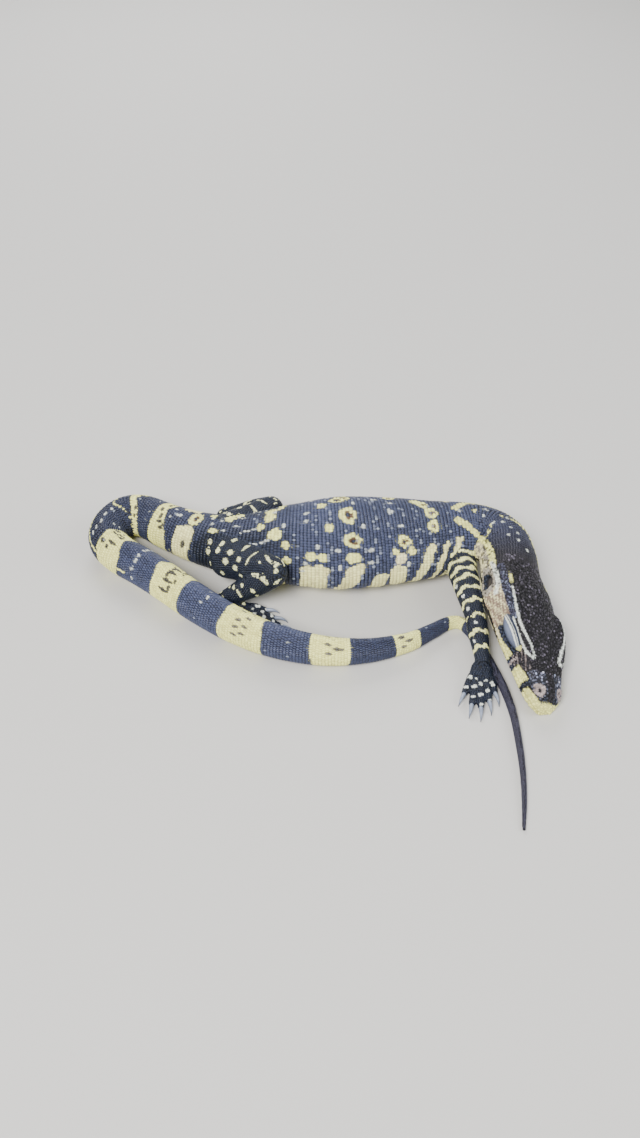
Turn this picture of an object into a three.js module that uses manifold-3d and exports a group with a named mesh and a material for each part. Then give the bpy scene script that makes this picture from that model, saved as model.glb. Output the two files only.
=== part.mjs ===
// A young water monitor asleep on its belly, life size, as a still museum model.
// The trunk lies along X with the head turned round to the animal's right, the tail is folded
// back beside the body, and everything that touches the ground has a small flat at Z = 0.
// Millimetres, +Z up. The plan below is drawn from above, then moved so that the middle of the
// whole animal stands over the origin.
import * as THREE from "three";
import { mergeVertices } from "three/addons/utils/BufferGeometryUtils.js";
import Module from "manifold-3d";

const wasm = await Module();
wasm.setup();

// Driving dimensions
const GAP = 0.3; // between neighbouring pieces of flesh
const SINK = 0.3; // how much of each round underside the ground flattens
const HEAD_LENGTH = 37; // snout to nape
const HEAD_TURN = THREE.MathUtils.degToRad(7.5); // from straight towards -Y, to +X
const HEAD_ROLL = THREE.MathUtils.degToRad(-30); // right cheek up
const SNOUT = [55.8, -50.8];
const PLAN_CENTRE = [-1.6, -27.6]; // the middle of the animal's box, in the plan

// The backbone in plan, from the nape to the tip of the tail
const NECK_PLAN = [[51.2, -13.6], [51.5, -6.4], [50, 0.6], [45.2, 4.7]];
const TRUNK_PLAN = [[37, 4.4], [24, 3.3], [9, 1.9], [-7, 1.4], [-22.5, 2.6]];
const TAIL_BASE_PLAN = [[-33.5, 5.8], [-43.3, 10.8], [-51.4, 15.8]];
const TAIL_FOLD_PLAN = [[-57, 15.6], [-60.6, 11], [-60.4, 5.4], [-56.6, 0.6]];
const TAIL_RETURN_PLAN = [
  [-50.2, -4], [-43, -9.6], [-34.5, -16.8], [-24, -24.4], [-12.5, -30.2],
  [0, -33.2], [12, -32.8], [22.5, -29.6], [29.4, -25.4],
];
const TAIL_WHIP_PLAN = [
  [33.9, -22.3], [37.4, -21.6], [39.9, -24.3], [42.2, -29.6], [44.7, -36.6], [46.8, -43.8],
  [48, -51.4], [48.2, -59.4], [48, -67], [47.2, -75], [46, -82.5],
];

// Outline stations: distance from the snout, half width, height of the back over the ground
const STATIONS = [
  [0, 1.7, 3.1], [1.1, 3.5, 5], [2.8, 4.8, 6.4], [5.6, 5.8, 7.7], [11, 6.9, 9.3], [15.5, 7.8, 10.7],
  [20, 8.8, 12], [28, 9.5, 13], [37, 8.5, 12.8], [46, 7.9, 12.8], [56, 8.5, 13.8], [65, 10.8, 16.2],
  [79, 13.4, 19], [97, 15.1, 20.3], [112, 12.8, 18.7], [125, 9.8, 15.8], [136, 7.9, 14.2],
  [154, 6.2, 12.9], [179, 5.3, 12.1], [212, 4.8, 11.6], [238, 4.0, 10.2], [263, 2.7, 7.4],
  [288, 1.5, 4.1], [300, 1.2, 3.2], [322, 0.95, 2.5], [345, 0.65, 1.6], [361, 0.3, 0.8],
];

// A smooth curve through [place, value] pairs that never overshoots them
function profile(pairs) {
  const x = pairs.map((p) => p[0]);
  const y = pairs.map((p) => p[1]);
  const slope = x.map(() => 0);
  for (let i = 1; i < x.length - 1; i++) {
    const before = (y[i] - y[i - 1]) / (x[i] - x[i - 1]);
    const after = (y[i + 1] - y[i]) / (x[i + 1] - x[i]);
    slope[i] = before * after > 0 ? (2 * before * after) / (before + after) : 0;
  }
  return (at) => {
    const s = THREE.MathUtils.clamp(at, x[0], x[x.length - 1]);
    let i = 0;
    while (i < x.length - 2 && s > x[i + 1]) i++;
    const span = x[i + 1] - x[i];
    const t = (s - x[i]) / span;
    const rise = t * t * (3 - 2 * t);
    const lead = t * (1 - t) * (1 - t) * span * slope[i];
    const trail = t * t * (t - 1) * span * slope[i + 1];
    return y[i] + (y[i + 1] - y[i]) * rise + lead + trail;
  };
}

const halfWidth = profile(STATIONS.map(([s, w]) => [s, w]));
const backHeight = profile(STATIONS.map(([s, , h]) => [s, h]));
// The share of the height that lies under the widest line
const bellyShare = profile([[0, 0.5], [20, 0.42], [37, 0.46], [94, 0.42], [136, 0.5], [361, 0.5]]);
// How much narrower the crown is than the widest line would give
const crownPinch = profile([
  [0, 0], [11, 0.12], [22, 0.16], [37, 0.06], [65, 0], [136, 0.05], [179, 0.28], [361, 0.2],
]);
// Below 1 the section is boxier than an ellipse
const squareness = profile([[0, 0.85], [28, 0.8], [49, 1], [361, 1]]);
// The low crest along the top of the tail
const crest = profile([[0, 0], [132, 0], [164, 0.45], [250, 0.35], [320, 0.12], [361, 0]]);
const roll = profile([[0, HEAD_ROLL], [34, HEAD_ROLL], [54, 0], [361, 0]]);
// How far the arched neck and the back of the head stand off the ground
const lift = profile([[0, 0], [6, 0.2], [37, 3.4], [48, 4.6], [60, 2.6], [76, 0], [361, 0]]);

// The backbone as one curve lying on the ground
const headPlan = [0, 1, 2, 3].map((i) => [
  SNOUT[0] - (Math.sin(HEAD_TURN) * HEAD_LENGTH * i) / 4,
  SNOUT[1] + (Math.cos(HEAD_TURN) * HEAD_LENGTH * i) / 4,
]);
const plan = [...headPlan, ...NECK_PLAN, ...TRUNK_PLAN, ...TAIL_BASE_PLAN, ...TAIL_FOLD_PLAN,
  ...TAIL_RETURN_PLAN, ...TAIL_WHIP_PLAN];
const groundPoints = plan.map(([x, y]) => new THREE.Vector3(x - PLAN_CENTRE[0], y - PLAN_CENTRE[1], 0));
const spine = new THREE.CatmullRomCurve3(groundPoints, false, "catmullrom", 0.5);
spine.arcLengthDivisions = 1500;
const bodyLength = spine.getLength();

// Where a point lies: s along the backbone, then out to the animal's left and up from the widest line
function place(s, out, up) {
  const u = THREE.MathUtils.clamp(s / bodyLength, 0, 1);
  const forward = spine.getTangentAt(u).negate();
  const left = new THREE.Vector3(-forward.y, forward.x, 0);
  const below = backHeight(s) * bellyShare(s);
  const turn = roll(s);
  const lowest = Math.hypot(halfWidth(s) * Math.sin(turn), below * Math.cos(turn));
  const sink = Math.min(SINK, 0.1 * backHeight(s));
  const side = out * Math.cos(turn) - up * Math.sin(turn);
  const height = out * Math.sin(turn) + up * Math.cos(turn);
  return spine.getPointAt(u).addScaledVector(left, side)
    .addScaledVector(forward, Math.min(0, bodyLength - s) + Math.max(0, -s))
    .setZ(lowest - sink + lift(s) + height);
}

// The body's own section at s: angle 0 is the left flank and a quarter turn the back
function sectionPoint(s, angle, reach, grow) {
  const c = Math.cos(angle);
  const n = Math.sin(angle);
  const e = squareness(s);
  const total = backHeight(s);
  const half = n > 0 ? total * (1 - bellyShare(s)) : total * bellyShare(s);
  const pinch = n > 0 ? 1 - crownPinch(s) * n * n : 1;
  const out = Math.sign(c) * Math.abs(c) ** e * (halfWidth(s) + grow) * pinch;
  const ridge = n > 0.999 ? crest(s) : 0;
  const up = Math.sign(n) * Math.abs(n) ** e * (half + grow) + ridge;
  return place(s, out * reach, up * reach);
}

// From a closed geometry to a solid. Only positions are kept, so that the corners close up.
function solidOf(geometry) {
  geometry.deleteAttribute("normal");
  geometry.deleteAttribute("uv");
  const merged = mergeVertices(geometry, 1e-4);
  const vertProperties = new Float32Array(merged.attributes.position.array);
  const triVerts = new Uint32Array(merged.index.array);
  let solid = new wasm.Manifold(new wasm.Mesh({ numProp: 3, vertProperties, triVerts }));
  if (solid.volume() < 0) {
    for (let i = 0; i < triVerts.length; i += 3) {
      [triVerts[i], triVerts[i + 1]] = [triVerts[i + 1], triVerts[i]];
    }
    solid = new wasm.Manifold(new wasm.Mesh({ numProp: 3, vertProperties, triVerts }));
  }
  return solid;
}

// Moves every vertex of a geometry by a function of its place
function warp(geometry, move) {
  const position = geometry.getAttribute("position");
  const p = new THREE.Vector3();
  for (let i = 0; i < position.count; i++) {
    p.fromBufferAttribute(position, i);
    p.copy(move(p.x, p.y, p.z));
    position.setXYZ(i, p.x, p.y, p.z);
  }
  return geometry;
}

// A closed drum between two stations of a tube, bent by a function of (share along, angle, share out)
function drum(sides, steps, move) {
  const shape = new THREE.CylinderGeometry(1, 1, 1, sides, steps);
  return solidOf(warp(shape, (x, y, z) => move(0.5 - y, Math.atan2(z, x), Math.hypot(x, z))));
}

const onGround = (p) => p.setZ(Math.max(p.z, 0));

// A length of the body between two stations
function bodyLengthOf(from, to, sides, steps, grow = 0) {
  return drum(sides, steps, (t, angle, r) => onGround(sectionPoint(from + (to - from) * t, angle, r, grow)));
}

// A limb, toe or claw: a tube along points [x, y, z], with its radii spread evenly along it and
// domed ends, which may run past the end points by a share of the radius there
function tube(points, radii, sides, steps, grow = 0, flat = 1, overrun = 0) {
  const path = points.map(([x, y, z]) => new THREE.Vector3(x - PLAN_CENTRE[0], y - PLAN_CENTRE[1], z));
  const beyond = (end, next, r) =>
    end.clone().addScaledVector(end.clone().sub(next).normalize(), r * overrun);
  const last = path.length - 1;
  const first = beyond(path[0], path[1], radii[0]);
  path[last] = beyond(path[last], path[last - 1], radii[radii.length - 1]);
  path[0] = first;
  const curve = new THREE.CatmullRomCurve3(path, false, "catmullrom", 0.5);
  const length = curve.getLength();
  const radius = profile(radii.map((r, i) => [i / (radii.length - 1), r]));
  const dome = (t) => {
    const fromEnd = Math.min(t, 1 - t) * length + grow;
    const r = radius(t) + grow;
    return fromEnd >= r ? 1 : Math.sqrt(Math.max(0.04, 1 - ((r - fromEnd) / r) ** 2));
  };
  return drum(sides, steps, (t, angle, r) => {
    const at = 0.5 - 0.5 * Math.cos(Math.PI * t); // closer steps towards the domed ends
    const forward = curve.getTangentAt(at);
    const side = new THREE.Vector3(-forward.y, forward.x, 0).normalize();
    const up = new THREE.Vector3().crossVectors(forward, side);
    const reach = (radius(at) + grow) * dome(at) * r;
    return curve.getPointAt(at).addScaledVector(side, Math.cos(angle) * reach)
      .addScaledVector(up, Math.sin(angle) * reach * flat)
      .addScaledVector(forward, at < 0.001 ? -grow : at > 0.999 ? grow : 0);
  });
}

// An ellipsoid set on the head: station, distance out and up, and its three half sizes. It
// follows the head as that widens, so a long one runs along the wedge of the snout.
function headEgg(s, out, up, half, detail = 12) {
  const egg = new THREE.SphereGeometry(1, detail, Math.round(detail * 0.6));
  return solidOf(warp(egg, (x, y, z) => {
    const at = s + x * half[0];
    const wider = halfWidth(at) / halfWidth(s);
    const higher = backHeight(at) / backHeight(s);
    return place(at, (out + y * half[1]) * wider, (up + z * half[2]) * higher);
  }));
}

const groundBlock = solidOf(new THREE.BoxGeometry(400, 400, 50).translate(0, 0, -25));

// The largest closed piece of a solid, above the ground
function whole(solid) {
  const pieces = solid.subtract(groundBlock).decompose();
  return pieces.sort((a, b) => b.volume() - a.volume())[0];
}

const lizard = new THREE.Group();
const built = new Map();

function add(name, solid, colour, roughness = 0.55) {
  const { vertProperties, triVerts, numProp } = solid.getMesh();
  const positions = new Float32Array((vertProperties.length / numProp) * 3);
  for (let i = 0; i < positions.length / 3; i++) {
    positions.set(vertProperties.subarray(i * numProp, i * numProp + 3), i * 3);
  }
  const geometry = new THREE.BufferGeometry();
  geometry.setAttribute("position", new THREE.BufferAttribute(positions, 3));
  geometry.setIndex(new THREE.BufferAttribute(triVerts, 1));
  const material = new THREE.MeshStandardMaterial({ color: colour, roughness, metalness: 0 });
  const mesh = new THREE.Mesh(geometry, material);
  mesh.name = name;
  lizard.add(mesh);
  built.set(name, solid);
}

const HIDE = 0x1d2029; // blue-black skin
const BAND = 0xc9c06a; // straw yellow bands
const LID = 0x7d8496; // blue-grey closed lids
const DRUM = 0x4a4642; // ear drums

// Trunk, neck and tail: lengths of the one body, parted by thin cuts
const LENGTHS = [
  ["neck_front", 37, 48, 22, 7],
  ["neck_rear", 48, 65, 22, 8],
  ["chest", 65, 86, 26, 7],
  ["belly", 86, 110, 26, 7],
  ["pelvis", 110, 134, 26, 8],
  ["tail_base", 134, 155, 18, 8],
  ["tail_fold_1", 155, 167, 18, 6],
  ["tail_fold_2", 167, 179, 18, 6],
  ["tail_fold_3", 179, 194, 18, 7],
  ["tail_return_1", 194, 218, 16, 7],
  ["tail_return_2", 218, 242, 16, 7],
  ["tail_return_3", 242, 266, 14, 7],
  ["tail_return_4", 266, 288, 12, 7],
  ["tail_whip_1", 288, 303, 10, 9],
  ["tail_whip_2", 303, 328, 10, 7],
  ["tail_whip_3", 328, 361, 8, 8],
];
const BEND_CUT = GAP * 1.3; // wider where the body bends, as the cut closes up on the inside of the bend
for (const [name, from, to, sides, steps] of LENGTHS) {
  const cut = /fold|neck/.test(name) ? BEND_CUT : GAP / 2;
  const end = to >= 361 ? bodyLength : to - cut;
  const piece = bodyLengthOf(from + cut, end, sides, steps);
  add(name, whole(piece), HIDE);
}

// Head: one form, then the mouth, the eye sockets, the ear cups and the nostrils are cut into it
const EYE = { s: 17.2, out: 7, up: 2.8 };
const EAR = { s: 33.4, out: 8.7, up: 0.5 };
const NOSTRIL = { s: 2.9, out: 3.6, up: 2.3 };
const MOUTH_CORNER = 26.5;
const mouthHeight = profile([[-3, -0.7], [3.4, -1], [11, -1.1], [19, -0.8], [MOUTH_CORNER, 0.1]]);

// A thin sheet along the gape, which drops behind the corner of the mouth to part the lower jaw
function mouthSheet() {
  const back = MOUTH_CORNER + 5;
  const sheet = new THREE.BoxGeometry(back + 3, 30, 1, 26, 1, 1);
  const drop = (s) => mouthHeight(s) - 1.6 * Math.max(0, s - MOUTH_CORNER);
  const middle = (back - 3) / 2;
  return solidOf(warp(sheet, (x, y, z) => {
    const s = middle + x;
    const steep = s > MOUTH_CORNER ? 1.9 : 1;
    return place(s, y, drop(s) + z * GAP * steep);
  }));
}

const headForm = bodyLengthOf(0, HEAD_LENGTH - GAP / 2, 28, 20);
let skull = headForm;
for (const side of [1, -1]) {
  const brow = headEgg(EYE.s - 1.1, side * 5.7, 4.8, [7.6, 2.3, 1.25], 12);
  const canthus = headEgg(11.2, side * 4.7, 3.1, [7.3, 1.6, 0.95], 10);
  const rim = headEgg(NOSTRIL.s + 0.6, side * 3.0, 1.8, [2.2, 1.5, 1.2], 10);
  const cheek = headEgg(29.3, side * 7.4, -0.4, [6.2, 2.7, 3.8], 10);
  const lip = headEgg(13, side * 6.0, -0.4, [10.6, 1.3, 0.8], 10);
  skull = skull.add(brow).add(canthus).add(rim).add(cheek).add(lip);
}
for (const side of [1, -1]) {
  skull = skull.subtract(headEgg(EYE.s, side * EYE.out, EYE.up, [5.3, 2.6, 2.6], 16));
  skull = skull.subtract(headEgg(EAR.s, side * (EAR.out + 0.6), EAR.up, [2.5, 1.8, 1.9]));
  skull = skull.subtract(headEgg(NOSTRIL.s, side * (NOSTRIL.out + 0.5), NOSTRIL.up, [0.8, 1, 0.7], 8));
}
// Nothing added to the head may cross the cut at the nape
const napeBlock = bodyLengthOf(HEAD_LENGTH - GAP / 2, HEAD_LENGTH + 6, 12, 2, 3);
const headPieces = skull.subtract(napeBlock).subtract(groundBlock).subtract(mouthSheet()).decompose();
headPieces.sort((a, b) => b.volume() - a.volume());
add("head", headPieces[0], HIDE);
add("lower_jaw", headPieces[1], BAND);

// Closed lids: a full lower lid that meets the upper one in a slit above the middle
function closedLid(side) {
  const ball = headEgg(EYE.s, side * EYE.out, EYE.up, [5.3 - GAP, 2.6 - GAP, 2.6 - GAP], 18);
  const slit = headEgg(EYE.s, side * (EYE.out + 1.9), EYE.up + 1.2, [4.4, 0.8, 0.22], 10);
  return whole(ball.subtract(slit));
}
function earDrum(side) {
  return headEgg(EAR.s, side * (EAR.out - 0.3), EAR.up, [1.6, 0.4, 1.1], 8);
}
for (const [word, side] of [["left", 1], ["right", -1]]) {
  add("eyelids_" + word, closedLid(side), LID, 0.35);
  add("eardrum_" + word, earDrum(side), DRUM, 0.4);
}

// Limbs: [joint nearest the body, middle joint, wrist or ankle], each [x, y, z]
const LIMBS = {
  right_arm: {
    names: ["right_upper_arm", "right_forearm", "right_hand"],
    joints: [[38.3, -4, 8.8], [41, -24, 6.8], [41.6, -37, 4.6]],
    upper: [4.9, 4.0, 3.2, 2.6], lower: [2.5, 2.7, 2.2, 1.8], trunk: [46, 88],
    palm: 4.2, aim: -98, digits: [[20, 5], [11, 7], [2, 8.4], [-7, 8.6], [-19, 6.4]],
  },
  left_arm: {
    names: ["left_upper_arm", "left_forearm", "left_hand"],
    joints: [[38.5, 11.5, 8], [27, 19, 6.2], [14.5, 20.2, 3]],
    upper: [4.9, 4.0, 3.2, 2.6], lower: [2.5, 2.7, 2.2, 1.8], trunk: [50, 100],
    palm: 5, aim: 172, digits: [[28, 5.5], [15, 8.2], [2, 9.8], [-12, 9.4], [-34, 6.4]],
  },
  right_leg: {
    names: ["right_thigh", "right_shank", "right_foot"],
    joints: [[-25, -3.6, 8.6], [-11.8, -14, 13.2], [-26.4, -14.6, 2.9]],
    upper: [6.6, 5.6, 4.6, 3.7], lower: [3.6, 3.7, 2.9, 2.2], trunk: [108, 150],
    palm: 8, aim: -29, digits: [[22, 5.4], [13, 8], [6, 10.6], [0, 12], [-7, 7.2]],
  },
  left_leg: {
    names: ["left_thigh", "left_shank", "left_foot"],
    joints: [[-25, 7.2, 8.2], [-13.6, 15.4, 9.6], [-29, 19, 2.9]],
    upper: [6.4, 5.4, 4.4, 3.6], lower: [3.5, 3.5, 2.8, 2.2], trunk: [108, 150],
    palm: 8, aim: 6, digits: [[-20, 5.4], [-10, 8], [-1, 10.6], [8, 12.6], [26, 7.2]],
  },
};
const JOINT_OVERRUN = 0.8; // how far a limb runs on past its joints, in radii
const TRUNK_CLEARANCE = GAP * 1.4; // kept from the trunk at the root of a limb
const CLAW_LENGTH = 3.3;
const CLAW_RADII = [0.62, 0.6, 0.4, 0.12];
const TOE_RADII = [1.1, 1.15, 1, 0.8];
const PALM_RADII = [2.1, 2.7, 2.9, 2.3];
const PALM_FLATNESS = 0.62;
const KNUCKLE_STEP = 1.05; // between neighbouring toes, across the palm
const KNUCKLE_CURVE = 0.7; // how much further back each toe roots, from the middle one outwards

const between = (a, b, t) => a.map((v, i) => v + (b[i] - v) * t);

// One toe with its claw: it arches over the ground and the claw hooks down to it
function toe(root, heading, length) {
  const along = (d, z) => [root[0] + Math.cos(heading) * d, root[1] + Math.sin(heading) * d, z];
  const arch = [along(-1.5, 1.3), along(length * 0.35, 1.8), along(length * 0.7, 1.15), along(length, 0.72)];
  const flesh = tube(arch, TOE_RADII, 7, 5);
  const hook = [along(length - 0.8, 0.85), along(length + CLAW_LENGTH * 0.35, 1.25),
    along(length + CLAW_LENGTH * 0.75, 0.8), along(length + CLAW_LENGTH, 0.08)];
  return flesh.add(tube(hook, CLAW_RADII, 5, 4));
}

function foot(limb, grip) {
  const wrist = limb.joints[2];
  const aim = THREE.MathUtils.degToRad(limb.aim);
  const ahead = (d, z) => [wrist[0] + Math.cos(aim) * d, wrist[1] + Math.sin(aim) * d, z];
  const palm = [ahead(-0.8, wrist[2]), ahead(limb.palm * 0.45, 2), ahead(limb.palm * 0.8, 1.65),
    ahead(limb.palm + 0.8, 1.35)];
  let made = tube(palm, PALM_RADII, 12, 8, 0, PALM_FLATNESS);
  limb.digits.forEach(([spread, length], i) => {
    const heading = aim + THREE.MathUtils.degToRad(spread);
    const across = grip * (2 - i) * KNUCKLE_STEP;
    const back = Math.abs(2 - i) * KNUCKLE_CURVE;
    const knuckle = [
      wrist[0] + Math.cos(aim) * (limb.palm - back) - Math.sin(aim) * across,
      wrist[1] + Math.sin(aim) * (limb.palm - back) + Math.cos(aim) * across,
    ];
    made = made.add(toe(knuckle, heading, length));
  });
  return made;
}

for (const [key, limb] of Object.entries(LIMBS)) {
  const [top, middle, end] = limb.joints;
  const grip = key.startsWith("right") ? 1 : -1;
  const upperPath = [top, between(top, middle, 0.35), between(top, middle, 0.7), middle];
  const lowerPath = [middle, between(middle, end, 0.35), between(middle, end, 0.7), end];
  const trunk = bodyLengthOf(limb.trunk[0], limb.trunk[1], 32, 24, TRUNK_CLEARANCE);
  const upper = tube(upperPath, limb.upper, 14, 12, 0, 1, JOINT_OVERRUN);
  const upperGrown = tube(upperPath, limb.upper, 14, 12, GAP, 1, JOINT_OVERRUN);
  const lower = tube(lowerPath, limb.lower, 12, 12, 0, 1, JOINT_OVERRUN);
  const lowerGrown = tube(lowerPath, limb.lower, 12, 12, GAP, 1, JOINT_OVERRUN);
  add(limb.names[0], whole(upper.subtract(trunk)), HIDE);
  add(limb.names[1], whole(lower.subtract(upperGrown).subtract(trunk)), HIDE);
  add(limb.names[2], whole(foot(limb, grip).subtract(lowerGrown).subtract(upperGrown).subtract(trunk)), HIDE);
}

export default lizard;
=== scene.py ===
# %% [markdown]
# # A young water monitor, asleep
# The solid model fixes the size and the pose of the animal. This lesson dresses it: one unbroken
# skin, thousands of small raised scales that carry the markings, closed eyelids, ear drums and
# claws. Everything is worked out in millimetres and handed to Blender in metres.

# %% Load the solid model
import math

import bmesh
import bpy
import numpy as np
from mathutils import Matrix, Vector
from mathutils.bvhtree import BVHTree
from mathutils.kdtree import KDTree


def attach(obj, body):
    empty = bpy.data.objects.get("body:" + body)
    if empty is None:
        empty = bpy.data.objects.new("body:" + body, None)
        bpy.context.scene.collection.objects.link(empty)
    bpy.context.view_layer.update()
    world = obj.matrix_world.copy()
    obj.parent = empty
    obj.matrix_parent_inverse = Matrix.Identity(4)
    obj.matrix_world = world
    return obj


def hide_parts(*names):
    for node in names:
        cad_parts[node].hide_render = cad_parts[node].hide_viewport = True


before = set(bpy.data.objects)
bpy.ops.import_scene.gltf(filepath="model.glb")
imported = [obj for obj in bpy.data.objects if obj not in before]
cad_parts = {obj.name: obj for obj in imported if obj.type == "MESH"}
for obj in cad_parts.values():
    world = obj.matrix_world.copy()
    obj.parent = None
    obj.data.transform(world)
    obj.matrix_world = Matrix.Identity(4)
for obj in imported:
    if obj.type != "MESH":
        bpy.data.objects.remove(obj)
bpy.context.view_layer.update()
MM = 0.001
rng = np.random.default_rng(7)
SIDES = {"left": 1, "right": -1}
print("solid model:", len(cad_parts), "nodes")


# %% Helpers for numbers, meshes and objects
def unit(x):
    """Each number kept between 0 and 1."""
    return np.clip(x, 0, 1)


def swell(x, middle, width):
    """A smooth hump of height 1 round the middle."""
    return np.exp(-((x - middle) / width) ** 2)


def linked(name, data):
    """A new object in the scene."""
    made = bpy.data.objects.new(name, data)
    bpy.context.collection.objects.link(made)
    return made


def mesh_of(bm, name="piece"):
    """The bmesh as a mesh."""
    mesh = bpy.data.meshes.new(name)
    bm.to_mesh(mesh)
    bm.free()
    return mesh


def merged(meshes, name):
    """One mesh made of several, which are then removed."""
    bm = bmesh.new()
    for mesh in meshes:
        bm.from_mesh(mesh)
        bpy.data.meshes.remove(mesh)
    return mesh_of(bm, name)


def read(mesh, field="co"):
    """The places or normals of all vertices, one row each."""
    values = np.empty(len(mesh.vertices) * 3)
    mesh.vertices.foreach_get(field, values)
    return values.reshape(-1, 3)


def place_corners(mesh, points):
    """Put the vertices at points in mm, and none of them under the ground."""
    points[:, 2] = np.maximum(points[:, 2], 0)
    mesh.vertices.foreach_set("co", (points * MM).ravel())


def apply_modifiers(piece):
    evaluated = piece.evaluated_get(bpy.context.evaluated_depsgraph_get())
    result = bpy.data.meshes.new_from_object(evaluated)
    piece.modifiers.clear()
    piece.data = result


def put_colours(mesh, colours):
    """Store a colour for each vertex, which the materials read, and shade the mesh smooth."""
    shown = np.column_stack([unit(colours), np.ones(len(colours))]).astype("f")
    mesh.attributes.new("paint", "FLOAT_COLOR", "POINT").data.foreach_set("color", shown.ravel())
    mesh.shade_smooth()


# %% [markdown]
# ## The camera
# The photograph looks down on the sleeping animal at about 46 degrees from a hand's breadth away,
# so the perspective is strong. A pinhole model gives the lens: the focal length in pixels of the
# 640 by 1138 picture, turned into millimetres on a sensor whose long side is 36 mm.

# %% Camera
PLAN_CENTRE = np.array([-1.6, -27.6])
PICTURE_HEIGHT = 1138
FOCAL_PIXELS = 950
CAMERA_DISTANCE = 272
CAMERA_ELEVATION = math.radians(46)
SENSOR_WIDTH = 36

camera = linked("camera", bpy.data.cameras.new("camera"))
camera.data.sensor_width = SENSOR_WIDTH
camera.data.lens = SENSOR_WIDTH * FOCAL_PIXELS / PICTURE_HEIGHT
aim = Vector((-PLAN_CENTRE[0], -PLAN_CENTRE[1], 0)) * MM
back = Vector((0, -math.cos(CAMERA_ELEVATION), math.sin(CAMERA_ELEVATION)))
camera.location = aim + back * CAMERA_DISTANCE * MM
camera.rotation_euler = back.to_track_quat("Z", "Y").to_euler()
camera.data.clip_start = 0.01
bpy.context.scene.camera = camera
print("lens %.1f mm" % camera.data.lens)

# %% [markdown]
# ## The law of the body
# A lizard is easiest to describe as a bent tube. A backbone curve lies on the ground from the
# snout to the tip of the tail, and at each distance along it the section has a width and a
# height. The solid model was made by the same law, so a surface made with it fits the solids.

# %% Backbone and outline
HEAD_LENGTH = 37
HEAD_TURN = math.radians(7.5)
HEAD_ROLL = math.radians(-30)
SINK = 0.3
SNOUT = (55.8, -50.8)
head_plan = [(SNOUT[0] - math.sin(HEAD_TURN) * HEAD_LENGTH * i / 4,
              SNOUT[1] + math.cos(HEAD_TURN) * HEAD_LENGTH * i / 4) for i in range(4)]
neck_plan = [(51.2, -13.6), (51.5, -6.4), (50, 0.6), (45.2, 4.7)]
trunk_plan = [(37, 4.4), (24, 3.3), (9, 1.9), (-7, 1.4), (-22.5, 2.6)]
tail_plan = [(-33.5, 5.8), (-43.3, 10.8), (-51.4, 15.8), (-57, 15.6), (-60.6, 11), (-60.4, 5.4),
             (-56.6, 0.6), (-50.2, -4), (-43, -9.6), (-34.5, -16.8), (-24, -24.4), (-12.5, -30.2),
             (0, -33.2), (12, -32.8), (22.5, -29.6), (29.4, -25.4)]
whip_plan = [(33.9, -22.3), (37.4, -21.6), (39.9, -24.3), (42.2, -29.6), (44.7, -36.6), (46.8, -43.8),
             (48, -51.4), (48.2, -59.4), (48, -67), (47.2, -75), (46, -82.5)]
# distance from the snout, half width, height of the back
STATIONS = [
    (0, 1.7, 3.1), (1.1, 3.5, 5), (2.8, 4.8, 6.4), (5.6, 5.8, 7.7), (11, 6.9, 9.3), (15.5, 7.8, 10.7),
    (20, 8.8, 12), (28, 9.5, 13), (37, 8.5, 12.8), (46, 7.9, 12.8), (56, 8.5, 13.8), (65, 10.8, 16.2),
    (79, 13.4, 19), (97, 15.1, 20.3), (112, 12.8, 18.7), (125, 9.8, 15.8), (136, 7.9, 14.2),
    (154, 6.2, 12.9), (179, 5.3, 12.1), (212, 4.8, 11.6), (238, 4.0, 10.2), (263, 2.7, 7.4),
    (288, 1.5, 4.1), (300, 1.2, 3.2), (322, 0.95, 2.5), (345, 0.65, 1.6), (361, 0.3, 0.8),
]


# %% Smooth profiles along the body
def profile(pairs):
    """A smooth curve through (place, value) pairs that never overshoots them."""
    x, y = np.array(pairs, float).T
    rise = np.diff(y) / np.diff(x)
    before, after = rise[:-1], rise[1:]
    same_way = before * after > 0
    slope = np.zeros(len(x))
    slope[1:-1] = np.where(same_way, 2 * before * after / np.where(same_way, before + after, 1), 0)

    def value(at):
        at = np.clip(at, x[0], x[-1])
        i = np.clip(np.searchsorted(x, at, "right") - 1, 0, len(x) - 2)
        span = x[i + 1] - x[i]
        t = (at - x[i]) / span
        smooth = t * t * (3 - 2 * t)
        return (y[i] + (y[i + 1] - y[i]) * smooth + t * (1 - t) ** 2 * span * slope[i]
                + t * t * (t - 1) * span * slope[i + 1])
    return value


half_width = profile([(s, w) for s, w, h in STATIONS])
back_height = profile([(s, h) for s, w, h in STATIONS])
belly_share = profile([(0, 0.5), (20, 0.42), (37, 0.46), (94, 0.42), (136, 0.5), (361, 0.5)])
crown_pinch = profile([(0, 0), (11, 0.12), (22, 0.16), (37, 0.06), (65, 0), (136, 0.05),
                       (179, 0.28), (361, 0.2)])
squareness = profile([(0, 0.85), (28, 0.8), (49, 1), (361, 1)])
crest = profile([(0, 0), (132, 0), (164, 0.45), (250, 0.35), (320, 0.12), (361, 0)])
head_roll = profile([(0, HEAD_ROLL), (34, HEAD_ROLL), (54, 0), (361, 0)])
lift = profile([(0, 0), (6, 0.2), (37, 3.4), (48, 4.6), (60, 2.6), (76, 0), (361, 0)])


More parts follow.
